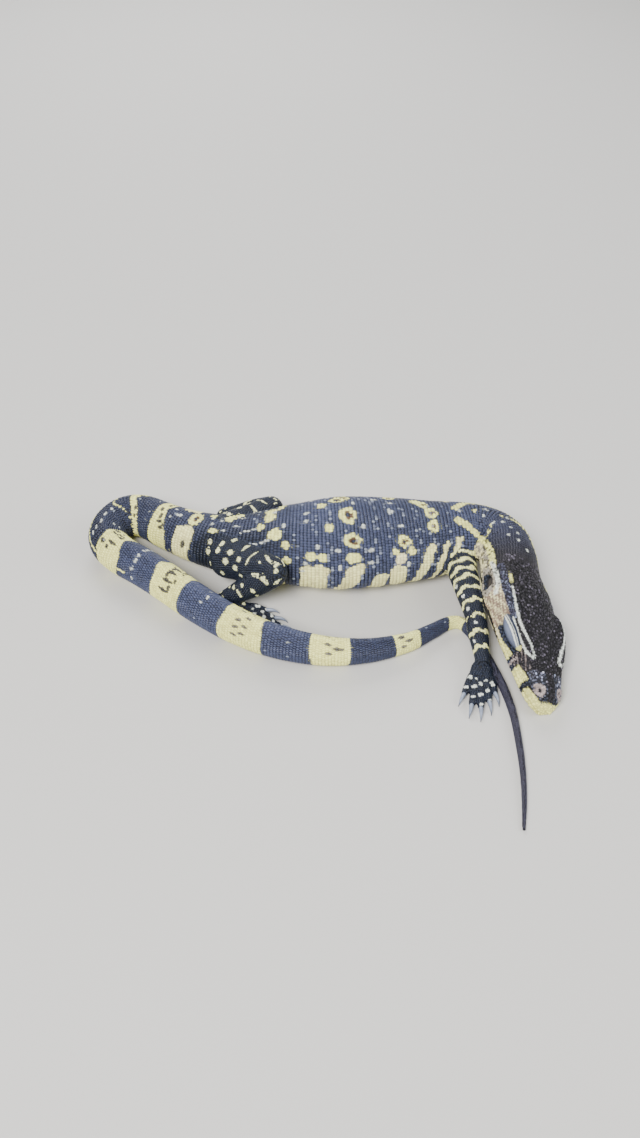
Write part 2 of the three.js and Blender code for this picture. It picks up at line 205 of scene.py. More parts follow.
# %% A line measured along its length
class Line:
    """A smooth curve through a few points, measured along its length from the first one."""

    def __init__(self, points, steps=24):
        p = np.array(points, float)
        p = np.vstack([2 * p[0] - p[1], p, 2 * p[-1] - p[-2]])
        t = np.linspace(0, 1, steps, endpoint=False)[:, None]
        runs = []
        for a, b, c, d in zip(p, p[1:], p[2:], p[3:]):
            runs.append(0.5 * (2 * b + (c - a) * t + (2 * a - 5 * b + 4 * c - d) * t ** 2
                               + (3 * b - a - 3 * c + d) * t ** 3))
        self.points = np.vstack(runs + [p[-2][None]])
        steps_long = np.linalg.norm(np.diff(self.points, axis=0), axis=1)
        self.s = np.concatenate([[0], np.cumsum(steps_long)])
        self.length = self.s[-1]
        self.forward = -np.gradient(self.points, self.s, axis=0)

    def at(self, s):
        """Places at the distances s, and the directions there towards the first point."""
        s = np.asarray(s, float)
        place = np.stack([np.interp(s, self.s, c) for c in self.points.T], -1)
        way = np.stack([np.interp(s, self.s, c) for c in self.forward.T], -1)
        return place, way / np.linalg.norm(way, axis=-1, keepdims=True)


backbone = Line(np.array(head_plan + neck_plan + trunk_plan + tail_plan + whip_plan) - PLAN_CENTRE)
print("snout to tail tip %.0f mm" % backbone.length)


# %% Places on the body
def left_of(forward):
    """The level directions a quarter turn to the left of those given."""
    return np.stack([-forward[..., 1], forward[..., 0]], -1)


def place(s, out, up):
    """The point at distance s along the backbone, out to the left and up from the widest line."""
    s, out, up = np.broadcast_arrays(np.asarray(s, float), out, up)
    spot, forward = backbone.at(s)
    below = back_height(s) * belly_share(s)
    turn = head_roll(s)
    lowest = np.hypot(half_width(s) * np.sin(turn), below * np.cos(turn))
    side = out * np.cos(turn) - up * np.sin(turn)
    past = np.minimum(0, backbone.length - s) + np.maximum(0, -s)
    flat = spot + left_of(forward) * side[..., None] + forward * past[..., None]
    ground = lowest - np.minimum(SINK, 0.1 * back_height(s)) + lift(s)
    return np.concatenate([flat, (ground + out * np.sin(turn) + up * np.cos(turn))[..., None]], -1)


def section(s, angle, reach=1.0):
    """The skin at distance s: angle 0 is the left flank, and a quarter turn from it the back."""
    c, n, e = np.cos(angle), np.sin(angle), squareness(s)
    share = belly_share(s)
    half = np.where(n > 0, 1 - share, share) * back_height(s)
    pinch = np.where(n > 0, 1 - crown_pinch(s) * n * n, 1)
    out = np.sign(c) * np.abs(c) ** e * half_width(s) * pinch
    ridge = crest(s) * unit((n - 0.9) * 10) ** 2
    up = np.sign(n) * np.abs(n) ** e * half + ridge
    return place(s, out * reach, up * reach)


# %% [markdown]
# ## Limbs, toes and claws
# Each limb is a chain of tapering tubes between its joints, and each hand or foot carries five
# toes. The joints stand where the solid model has them. A toe arches over the ground and ends in
# a hooked claw.

# %% Limb measures
ARM_RADII = dict(upper=(4.9, 4.0, 3.2, 2.6), lower=(2.5, 2.7, 2.2, 1.8))
LIMBS = {
    "right_arm": dict(ARM_RADII, joints=[(38.3, -4, 8.8), (41, -24, 6.8), (41.6, -37, 4.6)],
                      palm=4.2, aim=-98, digits=[(20, 5), (11, 7), (2, 8.4), (-7, 8.6), (-19, 6.4)]),
    "left_arm": dict(ARM_RADII, joints=[(38.5, 11.5, 8), (27, 19, 6.2), (14.5, 20.2, 3)],
                     palm=5, aim=172, digits=[(28, 5.5), (15, 8.2), (2, 9.8), (-12, 9.4), (-34, 6.4)]),
    "right_leg": dict(joints=[(-25, -3.6, 8.6), (-11.8, -14, 13.2), (-26.4, -14.6, 2.9)],
                      upper=(6.6, 5.6, 4.6, 3.7), lower=(3.6, 3.7, 2.9, 2.2),
                      palm=8, aim=-29, digits=[(22, 5.4), (13, 8), (6, 10.6), (0, 12), (-7, 7.2)]),
    "left_leg": dict(joints=[(-25, 7.2, 8.2), (-13.6, 15.4, 9.6), (-29, 19, 2.9)],
                     upper=(6.4, 5.4, 4.4, 3.6), lower=(3.5, 3.5, 2.8, 2.2),
                     palm=8, aim=6, digits=[(-20, 5.4), (-10, 8), (-1, 10.6), (8, 12.6), (26, 7.2)]),
}
JOINT_OVERRUN = 0.8
CLAW_LENGTH = 3.3
TOE_SPACING = 1.05


# %% Tubes
def run_past(points, radii, overrun):
    """The points with both ends moved on by a share of the radius there."""
    p = np.array(points, float)
    for end, next_in in ((0, 1), (-1, -2)):
        outward = p[end] - p[next_in]
        p[end] = p[end] + outward / np.linalg.norm(outward) * radii[end] * overrun
    return p


class Tube:
    """A limb, toe or claw: a line with its radii spread evenly along it and domed ends."""

    def __init__(self, points, radii, flat=1.0, overrun=0.0):
        self.line = Line(run_past(points, radii, overrun))
        self.radius = profile([(i / (len(radii) - 1), r) for i, r in enumerate(radii)])
        self.flat = flat

    def frame(self, t):
        """Place, forward, side and up at the share t of the length."""
        spot, back = self.line.at(t * self.line.length)
        forward = -back
        side = np.stack([-forward[..., 1], forward[..., 0], np.zeros_like(t)], -1)
        side /= np.linalg.norm(side, axis=-1, keepdims=True)
        return spot, forward, side, np.cross(forward, side)

    def surface(self, t, angle, reach=1.0):
        spot, forward, side, up = self.frame(t)
        r = self.radius(t)
        from_end = np.minimum(t, 1 - t) * self.line.length
        dome = np.where(from_end >= r, 1, np.sqrt(np.clip(1 - ((r - from_end) / r) ** 2, 0.04, 1)))
        r = (r * dome * reach)[..., None]
        across, above = np.cos(angle)[..., None], np.sin(angle)[..., None]
        return spot + side * across * r + up * above * r * self.flat


# %% Limbs, hands and feet
def toe_tubes(root, heading, length):
    """The flesh of one toe and the line of its claw."""
    def along(*steps):
        return [(root[0] + math.cos(heading) * d, root[1] + math.sin(heading) * d, z) for d, z in steps]
    flesh = along((-1.5, 1.3), (length * 0.35, 1.8), (length * 0.7, 1.15), (length, 0.72))
    hook = along((length - 0.8, 0.85), (length + CLAW_LENGTH * 0.35, 1.25),
                 (length + CLAW_LENGTH * 0.75, 0.8), (length + CLAW_LENGTH, 0.08))
    return Tube(flesh, (1.1, 1.15, 1.0, 0.8)), hook


def straight(start, end, radii):
    """A tube between two joints."""
    return Tube([start + (end - start) * k for k in (0, 0.35, 0.7, 1)], radii, overrun=JOINT_OVERRUN)


limb_tubes, toe_list, claw_hooks = {}, [], []
for name, limb in LIMBS.items():
    top, middle, wrist = (np.array(j, float) - np.append(PLAN_CENTRE, 0) for j in limb["joints"])
    aim_angle, long = math.radians(limb["aim"]), limb["palm"]
    ahead = np.array([math.cos(aim_angle), math.sin(aim_angle)])
    across = left_of(ahead) * (1 if name.startswith("right") else -1)
    arch = ((-0.8, wrist[2]), (long * 0.45, 2), (long * 0.8, 1.65), (long + 0.8, 1.35))
    palm = Tube([(*(wrist[:2] + ahead * d), z) for d, z in arch], (2.1, 2.7, 2.9, 2.3), flat=0.62)
    limb_tubes[name] = (straight(top, middle, limb["upper"]), straight(middle, wrist, limb["lower"]), palm)
    for i, (spread, length) in enumerate(limb["digits"]):
        root = wrist[:2] + ahead * (long - abs(2 - i) * 0.7) + across * (2 - i) * TOE_SPACING
        flesh, hook = toe_tubes(root, aim_angle + math.radians(spread), length)
        toe_list.append((name, flesh))
        claw_hooks.append(hook)
print(len(toe_list), "toes")

# %% [markdown]
# ## The skin
# A living skin has no seams, so the bent tubes of body, limbs and toes are laid over each other
# and a voxel remesh melts them into one closed surface. Each tube starts as a drum: a cylinder
# whose sides are cut into rings, and whose vertices are then moved to the law above.


# %% Drums and eggs
def drum(segments, steps, move):
    """A closed drum whose vertices move(share along, angle, share out) sets, as a mesh."""
    bm = bmesh.new()
    bmesh.ops.create_cone(bm, cap_ends=True, segments=segments, radius1=1, radius2=1, depth=1)
    uprights = [e for e in bm.edges if abs(e.verts[0].co.z - e.verts[1].co.z) > 0.5]
    bmesh.ops.subdivide_edges(bm, edges=uprights, cuts=steps - 1, use_grid_fill=True)

    def by_cylinder(p):
        return move(0.5 - p[:, 2], np.arctan2(p[:, 1], p[:, 0]), np.hypot(p[:, 0], p[:, 1]))
    return moved(bm, by_cylinder)


def moved(bm, move):
    """The bmesh as a mesh with its vertices moved, none under the ground, and its faces outward."""
    mesh = mesh_of(bm)
    place_corners(mesh, move(read(mesh)))
    bm = bmesh.new()
    bm.from_mesh(mesh)
    bmesh.ops.recalc_face_normals(bm, faces=bm.faces)
    bm.to_mesh(mesh)
    bm.free()
    return mesh


def head_egg(s, out, up, half, detail=24):
    """An ellipsoid set on the head, which follows the wedge of the snout."""
    bm = bmesh.new()
    bmesh.ops.create_uvsphere(bm, u_segments=detail, v_segments=detail // 2, radius=1)

    def move(p):
        at = s + p[:, 0] * half[0]
        wider = half_width(at) / half_width(s)
        higher = back_height(at) / back_height(s)
        return place(at, (out + p[:, 1] * half[1]) * wider, (up + p[:, 2] * half[2]) * higher)
    return moved(bm, move)


def tube_mesh(tube, segments, steps):
    return drum(segments, steps, lambda t, a, r: tube.surface(0.5 - 0.5 * np.cos(np.pi * t), a, r))


# %% One closed skin
EYE = dict(s=17.2, out=7, up=2.8)
EAR = dict(s=33.4, out=8.7, up=0.5)
NOSTRIL = dict(s=2.9, out=3.6, up=2.3)
SKIN_VOXEL = 0.31

forms = [drum(96, 520, lambda t, a, r: section(t * backbone.length, a, r))]
for side in SIDES.values():
    forms += [head_egg(EYE["s"] - 1.1, side * 5.7, 4.8, (7.6, 2.3, 1.25)),
              head_egg(11.2, side * 4.7, 3.1, (7.3, 1.6, 0.95)),
              head_egg(NOSTRIL["s"] + 0.6, side * 3.0, 1.8, (2.2, 1.5, 1.2)),
              head_egg(29.3, side * 7.4, -0.4, (6.2, 2.7, 3.8)),
              head_egg(13, side * 6.0, -0.4, (10.6, 1.3, 0.8)),
              head_egg(EYE["s"], side * EYE["out"], EYE["up"], (4.5, 1.7, 2.1))]
for upper, lower, palm in limb_tubes.values():
    forms += [tube_mesh(upper, 40, 30), tube_mesh(lower, 36, 26), tube_mesh(palm, 32, 16)]
forms += [tube_mesh(flesh, 20, 20) for _, flesh in toe_list]

skin = linked("skin", merged(forms, "skin_forms"))
melt = skin.modifiers.new("melt", "REMESH")
melt.mode = "VOXEL"
melt.voxel_size = SKIN_VOXEL * MM
apply_modifiers(skin)
print("skin after the remesh:", len(skin.data.vertices), "vertices")

# %% [markdown]
# ## Where a point of the skin is
# Markings, folds and scales all need to know what they sit on: how far along the body a point
# is, and how far round. The chart answers that for any set of points. It finds the nearest
# place on every axis, and lets the axis win whose own surface is closest.

# %% Names and steps of the chart
PARTS = ["body"] + list(LIMBS) + [name + "_toes" for name in LIMBS]
BODY_STEP = 0.7
NEAR = 6
BLOCK = 4000  # points compared at a time, which keeps the tables of distances small
TOE_STARTS = (0.0, 1.2, 0.5, 1.7, 0.8)  # so that the spots of neighbouring toes don't line up


# %% Nearest places on a tube and on the body
def nearest_on(points, axis_points):
    """The index of the nearest axis point to each point."""
    found = np.empty(len(points), int)
    for start in range(0, len(points), BLOCK):
        block = points[start:start + BLOCK]
        far = ((block[:, None] - axis_points[None]) ** 2).sum(-1)
        found[start:start + BLOCK] = far.argmin(1)
    return found


def chart_tube(points, tube):
    """Share along, angle round and distance over radius, for points near a limb tube."""
    t_axis = np.linspace(0, 1, 40)
    spot, forward, side, up = tube.frame(t_axis)
    i = nearest_on(points, spot)
    rel = points - spot[i]
    ahead_of_it = (rel * forward[i]).sum(-1)
    t = unit(t_axis[i] + ahead_of_it / tube.line.length)
    across, above = (rel * side[i]).sum(-1), (rel * up[i]).sum(-1) / tube.flat
    over = np.linalg.norm([across, above, np.maximum(0, np.abs(ahead_of_it) - 0.6)], axis=0)
    return t, np.arctan2(above, across), over / tube.radius(t)


def chart_body(points, lowest_s, highest_s):
    """Distance from the snout, angle and distance over radius, for points near a length of body."""
    s_axis = np.arange(lowest_s, highest_s, BODY_STEP)
    spot, forward = backbone.at(s_axis)
    i = nearest_on(points[:, :2], spot)
    rel = points[:, :2] - spot[i]
    along = -(rel * forward[i]).sum(-1)
    s = np.clip(s_axis[i] + along, lowest_s, highest_s)
    side, height = (rel * left_of(forward[i])).sum(-1), points[:, 2] - place(s, 0, 0)[:, 2]
    turn = head_roll(s)
    out, up = side * np.cos(turn) + height * np.sin(turn), height * np.cos(turn) - side * np.sin(turn)
    share = np.where(up > 0, 1 - belly_share(s), belly_share(s))
    across, above = out / half_width(s), up / (share * back_height(s))
    over = np.hypot(across, above) + np.maximum(0, np.abs(along) - 3 * BODY_STEP) / half_width(s)
    return s, np.arctan2(above, across), over


# %% The chart of all parts
def chart(points):
    """For points in mm: part index, distance along (mm), angle round, and the number of the toe."""
    best = np.full(len(points), 1e9)
    part, toe = np.zeros(len(points), int), np.zeros(len(points), int)
    along, angle = np.zeros(len(points)), np.zeros(len(points))

    def offer(near, index, s, a, over, number=0):
        better = over < best[near]
        chosen = np.flatnonzero(near)[better]
        best[chosen], part[chosen], toe[chosen] = over[better], index, number
        along[chosen], angle[chosen] = s[better], a[better]

    def offer_tube(index, tube, start, number=0):
        corner = tube.line.points
        near = ((points > corner.min(0) - NEAR) & (points < corner.max(0) + NEAR)).all(1)
        if near.any():
            t, a, over = chart_tube(points[near], tube)
            offer(near, index, start + t * tube.line.length, a, over, number)

    for low, high in ((0, 144), (144, backbone.length)):
        s, a, over = chart_body(points, low, high)
        offer(np.ones(len(points), bool), 0, s, a, over)
    for name, tubes in limb_tubes.items():
        start = 0
        for tube in tubes:
            offer_tube(PARTS.index(name), tube, start)
            start += tube.line.length * 0.86
    for number, (name, tube) in enumerate(toe_list):
        offer_tube(PARTS.index(name + "_toes"), tube, TOE_STARTS[number % 5], number % 5)
    return part, along, angle % (2 * np.pi), toe


# %% [markdown]
# ## Folds and openings
# The remeshed skin still carries small steps of the voxels, so it is relaxed first. Then the
# nostrils, ear cups and the line of the mouth are pressed in, and loose folds are raised where a
# bent neck and the roots of the limbs crease the real skin.

# %% Relax the skin
bm = bmesh.new()
bm.from_mesh(skin.data)
for _ in range(5):
    bmesh.ops.smooth_vert(bm, verts=bm.verts, factor=0.5, use_axis_x=True, use_axis_y=True, use_axis_z=True)
bm.to_mesh(skin.data)
bm.free()

# %% Press in the openings and raise the folds
MOUTH_CORNER = 26.5
mouth_height = profile([(-3, -0.7), (3.4, -1), (11, -1.1), (19, -0.8), (MOUTH_CORNER, 0.1)])


def head_place(points):
    """s, out and up of points near the head."""
    spot, forward = backbone.at(np.zeros(1))
    rel = points[:, :2] - spot[0]
    s = -(rel @ forward[0])
    side = rel @ left_of(forward[0])
    height = points[:, 2] - place(np.clip(s, 0, HEAD_LENGTH), 0, 0)[:, 2]
    c, n = math.cos(HEAD_ROLL), math.sin(HEAD_ROLL)
    return s, side * c + height * n, height * c - side * n


def dent(distance, depth):
    """A smooth dimple whose rim is where distance is 1."""
    return depth * unit(1 - distance ** 2) ** 1.3


p, n = read(skin.data) / MM, read(skin.data, "normal")
part, along, angle, toe = chart(p)
on_body = part == 0
push = np.full(len(p), -0.05)
on_head = on_body & (along < HEAD_LENGTH + 1)
s, out, up = head_place(p)
# for each opening its half length, half height and depth, and the height, place and width of its rim
for opening, long, tall, depth, raised, rim, wide in (
        (NOSTRIL, 0.8, 0.65, 0.9, 0.22, 1.35, 0.4), (EAR, 2.5, 1.9, 1.3, 0.25, 1.2, 0.3)):
    far = np.hypot((s - opening["s"]) / long, (up - opening["up"]) / tall)
    push -= np.where(on_head, dent(far, depth), 0)
    push += np.where(on_head, raised * swell(far, rim, wide), 0)
line = np.abs(up - mouth_height(s))
in_mouth = on_head & (s < MOUTH_CORNER) & (out ** 2 > 1)
push -= np.where(in_mouth, 0.32 * unit(1 - line / 0.4), 0)
push += np.where(in_mouth, 0.16 * swell(line, 0.75, 0.45), 0)

fold_zone = swell(along, 53, 9) * unit(-np.cos(angle))
waves = np.sin(along * 2 * np.pi / 2.6 + 1.6 * np.sin(angle * 3) + 0.9 * np.sin(along * 0.7))
push += np.where(on_body, 0.28 * fold_zone * waves, 0)
flank = swell(np.sin(angle), -0.25, 0.35) * swell(along, 96, 26)
push += np.where(on_body, 0.16 * flank * np.sin(along * 2 * np.pi / 5.2 + 1.1 * np.sin(angle * 2)), 0)
gular = swell(along, 40, 1.6) * unit(-np.sin(angle))
push -= np.where(on_body, 0.5 * gular, 0)
place_corners(skin.data, p + n * push[:, None])
skin.data.update()


def triangle_count(mesh):
    return sum(len(f.vertices) - 2 for f in mesh.polygons)


# %% Thin the mesh where it is plain
MOST_TRIANGLES = 190000
thin = skin.modifiers.new("thin", "DECIMATE")
thin.ratio = MOST_TRIANGLES / triangle_count(skin.data)
apply_modifiers(skin)
print("skin:", len(skin.data.polygons), "faces")

# %% [markdown]
# ## Markings
# A young water monitor is blue-black with rows of yellow rings across the back, yellow bars
# climbing from the belly, barred arms, spotted legs and a banded tail. One function paints any
# point of the animal from its place in the chart, so skin and scales carry the same pattern.

# %% Colours and marks of the body
SLATE = np.array([0.052, 0.063, 0.122])
DARK = np.array([0.0135, 0.019, 0.037])
CROWN = np.array([0.016, 0.014, 0.019])
YELLOW = np.array([0.95, 0.93, 0.33])
CREAM = np.array([0.93, 0.85, 0.5])
PALE = np.array([0.78, 0.82, 0.76])
UMBER = np.array([0.12, 0.065, 0.035])
OLIVE = np.array([0.1, 0.095, 0.075])
PLUM = np.array([0.07, 0.05, 0.07])

# each kind's marks: distance from the snout, degrees round, half length and half breadth in mm
MARKS = {
    "ring": [  # a yellow ring with a dark heart
        (96.2, 92, 2.2, 2.8), (95.5, 125, 2.2, 1.9), (81.8, 129, 1.75, 1.6), (72.9, 88, 1.75, 1.9),
        (72.9, 110, 1.55, 1.7), (99, 62, 2.1, 1.5), (139.3, 88, 1.9, 2.6)],
    "buff": [  # a cream patch
        (83.1, 151, 1.65, 1.6)],
    "spot": [  # a yellow spot
        (101.4, 108, 1.2, 1.2), (95.4, 145, 2.1, 1.4), (103.5, 144, 1.3, 1.2), (106.2, 143, 1.4, 1.2),
        (84.5, 142, 0.85, 0.95), (79.8, 142, 1.1, 1.2), (76.5, 63, 1.5, 1.5), (117.7, 82, 1.7, 1.8),
        (115.7, 114, 1.8, 1.7), (112.7, 129, 1.2, 1.15), (112.6, 151, 1.1, 1.15),
        (119.9, 100, 1.1, 1.1), (115, 61, 1, 1), (127, 63, 1.5, 1.2), (129.2, 73, 1.6, 1.7),
        (132.8, 112, 1.2, 1.1), (60.6, 83, 0.4, 1.1)],
    "fleck": [  # a pale grey fleck
        (80.8, 159, 0.75, 1), (116.5, 70, 0.9, 0.6), (134.6, 80, 0.35, 0.4), (131.4, 83, 0.5, 0.5),
        (104.5, 131, 0.6, 0.7), (99.5, 136, 0.9, 0.55), (91, 137, 0.8, 0.6), (91, 152, 0.8, 0.6),
        (92.5, 108, 0.65, 0.75), (82, 109, 0.9, 0.6), (84.5, 88, 1, 1.1), (113.5, 101, 0.7, 0.6),
        (108, 153, 0.7, 0.5), (108.3, 164, 0.7, 0.5), (99, 157, 0.5, 0.9), (107.5, 84, 0.9, 0.6),
        (107.5, 97, 0.8, 0.6), (88, 62, 0.9, 0.5), (65, 84, 0.4, 0.7), (58.2, 93, 0.5, 0.45),
        (58, 73, 0.55, 0.4), (52.7, 86, 0.5, 0.55), (53.4, 68, 0.5, 0.4), (50.1, 83, 0.35, 0.5),
        (48.2, 76, 0.5, 0.35), (54.1, 102, 0.4, 0.7), (45.5, 84, 0.45, 0.45), (47.5, 98, 0.45, 0.4),
        (43, 74, 0.4, 0.5), (134, 94, 0.5, 0.5), (130.1, 107, 0.55, 0.7), (126.8, 96, 1.7, 0.3),
        (125.3, 110, 0.45, 0.45), (123.6, 105.5, 0.9, 0.3), (121.6, 103, 0.8, 0.3),
        (120.8, 128.5, 0.8, 0.35), (119.3, 125.5, 0.9, 0.35), (117.8, 122.5, 0.8, 0.35),
        (144, 93, 0.5, 0.5), (146.8, 76, 0.35, 0.35), (153.8, 136, 0.3, 0.4), (153.7, 113, 0.35, 0.4),
        (168.5, 95, 0.5, 0.4), (171.1, 89, 0.6, 0.5), (173.6, 81, 0.7, 0.6), (174.4, 60, 0.5, 0.55),
        (175.1, 43, 0.6, 0.5), (191.4, 118, 0.7, 0.6), (191.6, 101, 0.65, 0.6), (191.4, 77, 0.7, 0.65),
        (191.2, 56, 0.6, 0.6), (191, 31, 0.65, 0.6), (191.7, 3, 0.5, 0.6), (216.9, 84, 0.5, 0.5),
        (215.6, 62, 0.4, 0.4), (241, 50, 0.4, 0.35)],
    "stroke": [  # a dark stroke on a yellow band
        (140.2, 157, 0.75, 1.3), (150.2, 94, 0.5, 0.7), (149.6, 112, 0.5, 0.8), (149.2, 126, 0.7, 0.6),
        (147.6, 130, 0.5, 0.6), (148.2, 140, 0.8, 0.5), (159.2, 118, 0.5, 0.8), (159.3, 141, 0.6, 0.6),
        (157.9, 134, 0.5, 0.5), (180.2, 102, 1.3, 0.5), (182.9, 97, 0.9, 0.6), (179, 119, 0.8, 0.8),
        (182, 70, 1.4, 0.55), (181.2, 52, 0.6, 0.5), (203.7, 89, 1.7, 0.5), (203.4, 61, 1.8, 0.55),
        (203.6, 29, 2, 0.5), (202.6, 75, 0.6, 0.9), (204.9, 44, 0.6, 0.9), (206, 71, 0.5, 0.5),
        (227.5, 68, 0.9, 0.45), (229.9, 84, 0.9, 0.4), (227, 43, 0.9, 0.5), (229.5, 54, 0.9, 0.45),
        (226.9, 17, 0.9, 0.45), (229.2, 28, 0.9, 0.4), (250.9, 68, 1, 0.45), (253.4, 50, 1.3, 0.45),
        (251, 30, 0.9, 0.4), (270.2, 80, 1, 0.45), (272, 52, 1.2, 0.45), (270.6, 25, 0.9, 0.4)],
}
# bars that climb the flank: place at the belly, place and degrees at the top, half thickness
FLANK_BARS = [
    (70.5, 65.8, 130, 0.95), (74, 69.5, 135, 0.85), (79, 73.9, 137, 1.4), (83.6, 83.8, 161, 2.1),
    (89.6, 88.2, 170, 2), (98.8, 94.4, 154, 2.2), (105.9, 105.3, 155, 3.4), (114.6, 114.6, 156, 1.8),
    (124, 123, 150, 1.5), (133, 132, 150, 1.3), (62, 60, 185, 1.2), (53, 51, 200, 1.3),
    (141.4, 140.4, 114, 2.6)]
# bands of the tail: place on the back, place on the flank, half breadth on each
TAIL_BANDS = [
    (150.3, 148.8, 1.9, 2.6), (160.7, 158.6, 0.8, 2.5), (166.6, 161.8, 0.35, 0.4),
    (181.3, 182.2, 3.6, 3.2), (203.7, 203.7, 5.3, 5.3), (228.4, 228.4, 5.8, 5.8),
    (251.5, 251.5, 4.8, 4.8), (271.9, 271.9, 3.8, 3.8), (288.4, 288.4, 2.8, 2.8),
    (300.5, 300.5, 1.5, 1.5)]
BEND_LINE = [(163, 46), (168, 34), (173, 24), (178, 14), (183, 8), (188.5, 6)]
# how light the dark skin is along the body: partly its own tone, partly painted light and shade, darkest
# over the bend of the tail where the light falls off
shade = profile([(60, 0.85), (85, 1), (103, 1.2), (122, 0.85), (150, 0.75), (178, 0.6),
                 (190, 1.1), (215, 1.3), (245, 1.15), (262, 0.8), (361, 0.7)])
# spots of the legs: place along, degrees round, half length and half breadth in mm
LEG_MARKS = [
    (7.7, 76, 0.75, 0.9), (5.8, 104, 0.7, 0.8), (5.7, 126, 0.65, 0.75), (1.2, 139, 0.8, 1.1),
    (0.8, 108, 0.6, 0.7), (9.8, 120, 0.75, 0.75), (13.2, 130, 0.6, 0.7), (9.1, 148, 0.9, 0.9),
    (12.5, 160, 0.8, 0.8), (12.7, 83, 0.45, 1.7), (19.6, 116, 0.3, 0.3), (14, 183, 0.5, 0.6),
    (29.6, 86, 0.6, 0.9), (28.6, 66, 0.65, 0.8), (27.5, 42, 0.6, 0.7), (27.2, 18, 0.5, 0.9),
    (38.4, 101, 0.35, 0.7), (37, 79, 0.35, 0.8), (36.1, 31, 0.5, 1.2), (32, 14, 0.5, 0.9),
    (32.3, 334, 0.5, 0.8), (3.6, 50, 0.6, 0.8), (3, 172, 0.6, 0.9), (7.4, 190, 0.6, 0.7),
    (17, 205, 0.6, 0.8), (22, 160, 0.5, 0.9), (21.5, 40, 0.5, 0.7), (24.6, 120, 0.4, 1),
    (25, 200, 0.6, 0.8), (30.5, 150, 0.6, 0.8), (33.6, 122, 0.4, 0.9), (34, 60, 0.4, 0.6),
    (35.5, 190, 0.5, 0.8), (31, 240, 0.5, 0.7), (41.5, 60, 0.4, 0.7), (42, 115, 0.5, 0.6),
    (44.6, 85, 0.4, 0.7), (45, 140, 0.4, 0.5), (48, 62, 0.5, 0.5), (48.4, 105, 0.5, 0.5),
    (11, 40, 0.6, 0.7), (16.5, 20, 0.5, 0.8)]
LEG_LINES = [[(15.8, 141), (16.2, 112), (16.9, 78)], [(19.9, 79), (21.6, 92), (22.7, 98), (23.1, 72)]]
ARM_BARS = [5.4, 8, 10.6, 13.2, 16.6, 20.6, 25.2, 30.4, 34.8]
ARM_DOTS = [(18.6, 140), (22.9, 140), (27.8, 105), (23.3, 20), (32.8, 140), (28, 200), (14.8, 160), (18, 20)]


# %% Tools of the painter
def mean_radius(s):
    return (half_width(s) + back_height(s) / 2) / 2


def wobble(*waves):
    """A smooth value between about -1 and 1 that wanders with the numbers given."""
    total = 0
    for i, w in enumerate(waves):
        total = total + np.sin(w * (1.0 + 0.31 * i) + 1.7 * i) * np.cos(0.61 * w + 2.3 * i + waves[0] * 0.37)
    return total / len(waves)


def both_sides(angle):
    """The angle in degrees folded on to the right side, and 1 where it was on the left."""
    degrees = np.degrees(angle) % 360
    on_left = (degrees < 90) | (degrees > 270)
    return np.where(on_left, (180 - degrees) % 360, degrees), on_left


def far_from_line(s, degrees, radius, corners):
    """Distance in mm from a line drawn through (s, degrees) corners."""
    nearest = np.full(len(s), 1e3)
    for (s0, a0), (s1, a1) in zip(corners, corners[1:]):
        run_s, run_a = s1 - s0, np.radians(a1 - a0) * radius
        off_s, off_a = s - s0, np.radians(degrees - a0) * radius
        t = unit((off_s * run_s + off_a * run_a) / (run_s ** 2 + run_a ** 2 + 1e-9))
        nearest = np.minimum(nearest, np.hypot(off_s - t * run_s, off_a - t * run_a))
    return nearest


# %% Marks of the head
TEMPLE_STRIPE = [(28.6, 131), (22.9, 134), (18.2, 135), (15.5, 132), (13.1, 126), (10.6, 123), (9.7, 128)]
TEMPLE_DASH = [(32.6, 128), (30.2, 130)]
BROW_STRIPE = [(19.6, 143), (16.5, 143), (13.7, 141), (11.1, 137), (9.7, 128)]
SIDE_LINE = [(66, 103), (63.2, 117), (61.2, 130), (56, 140), (50, 146), (44, 151), (38, 155)]
NAPE_FORK = [(54.3, 106), (52.8, 119), (50.5, 134)]
EAR_RIM = [(38, 156), (34.3, 153), (30.9, 153), (28.4, 163)]
EAR_ROUND, NOSTRIL_ROUND = 180, 131
BLUE_GREY = np.array([0.2, 0.23, 0.34])
BUFF_GREY = np.array([0.4, 0.36, 0.3])
ROSE = np.array([0.45, 0.37, 0.355])


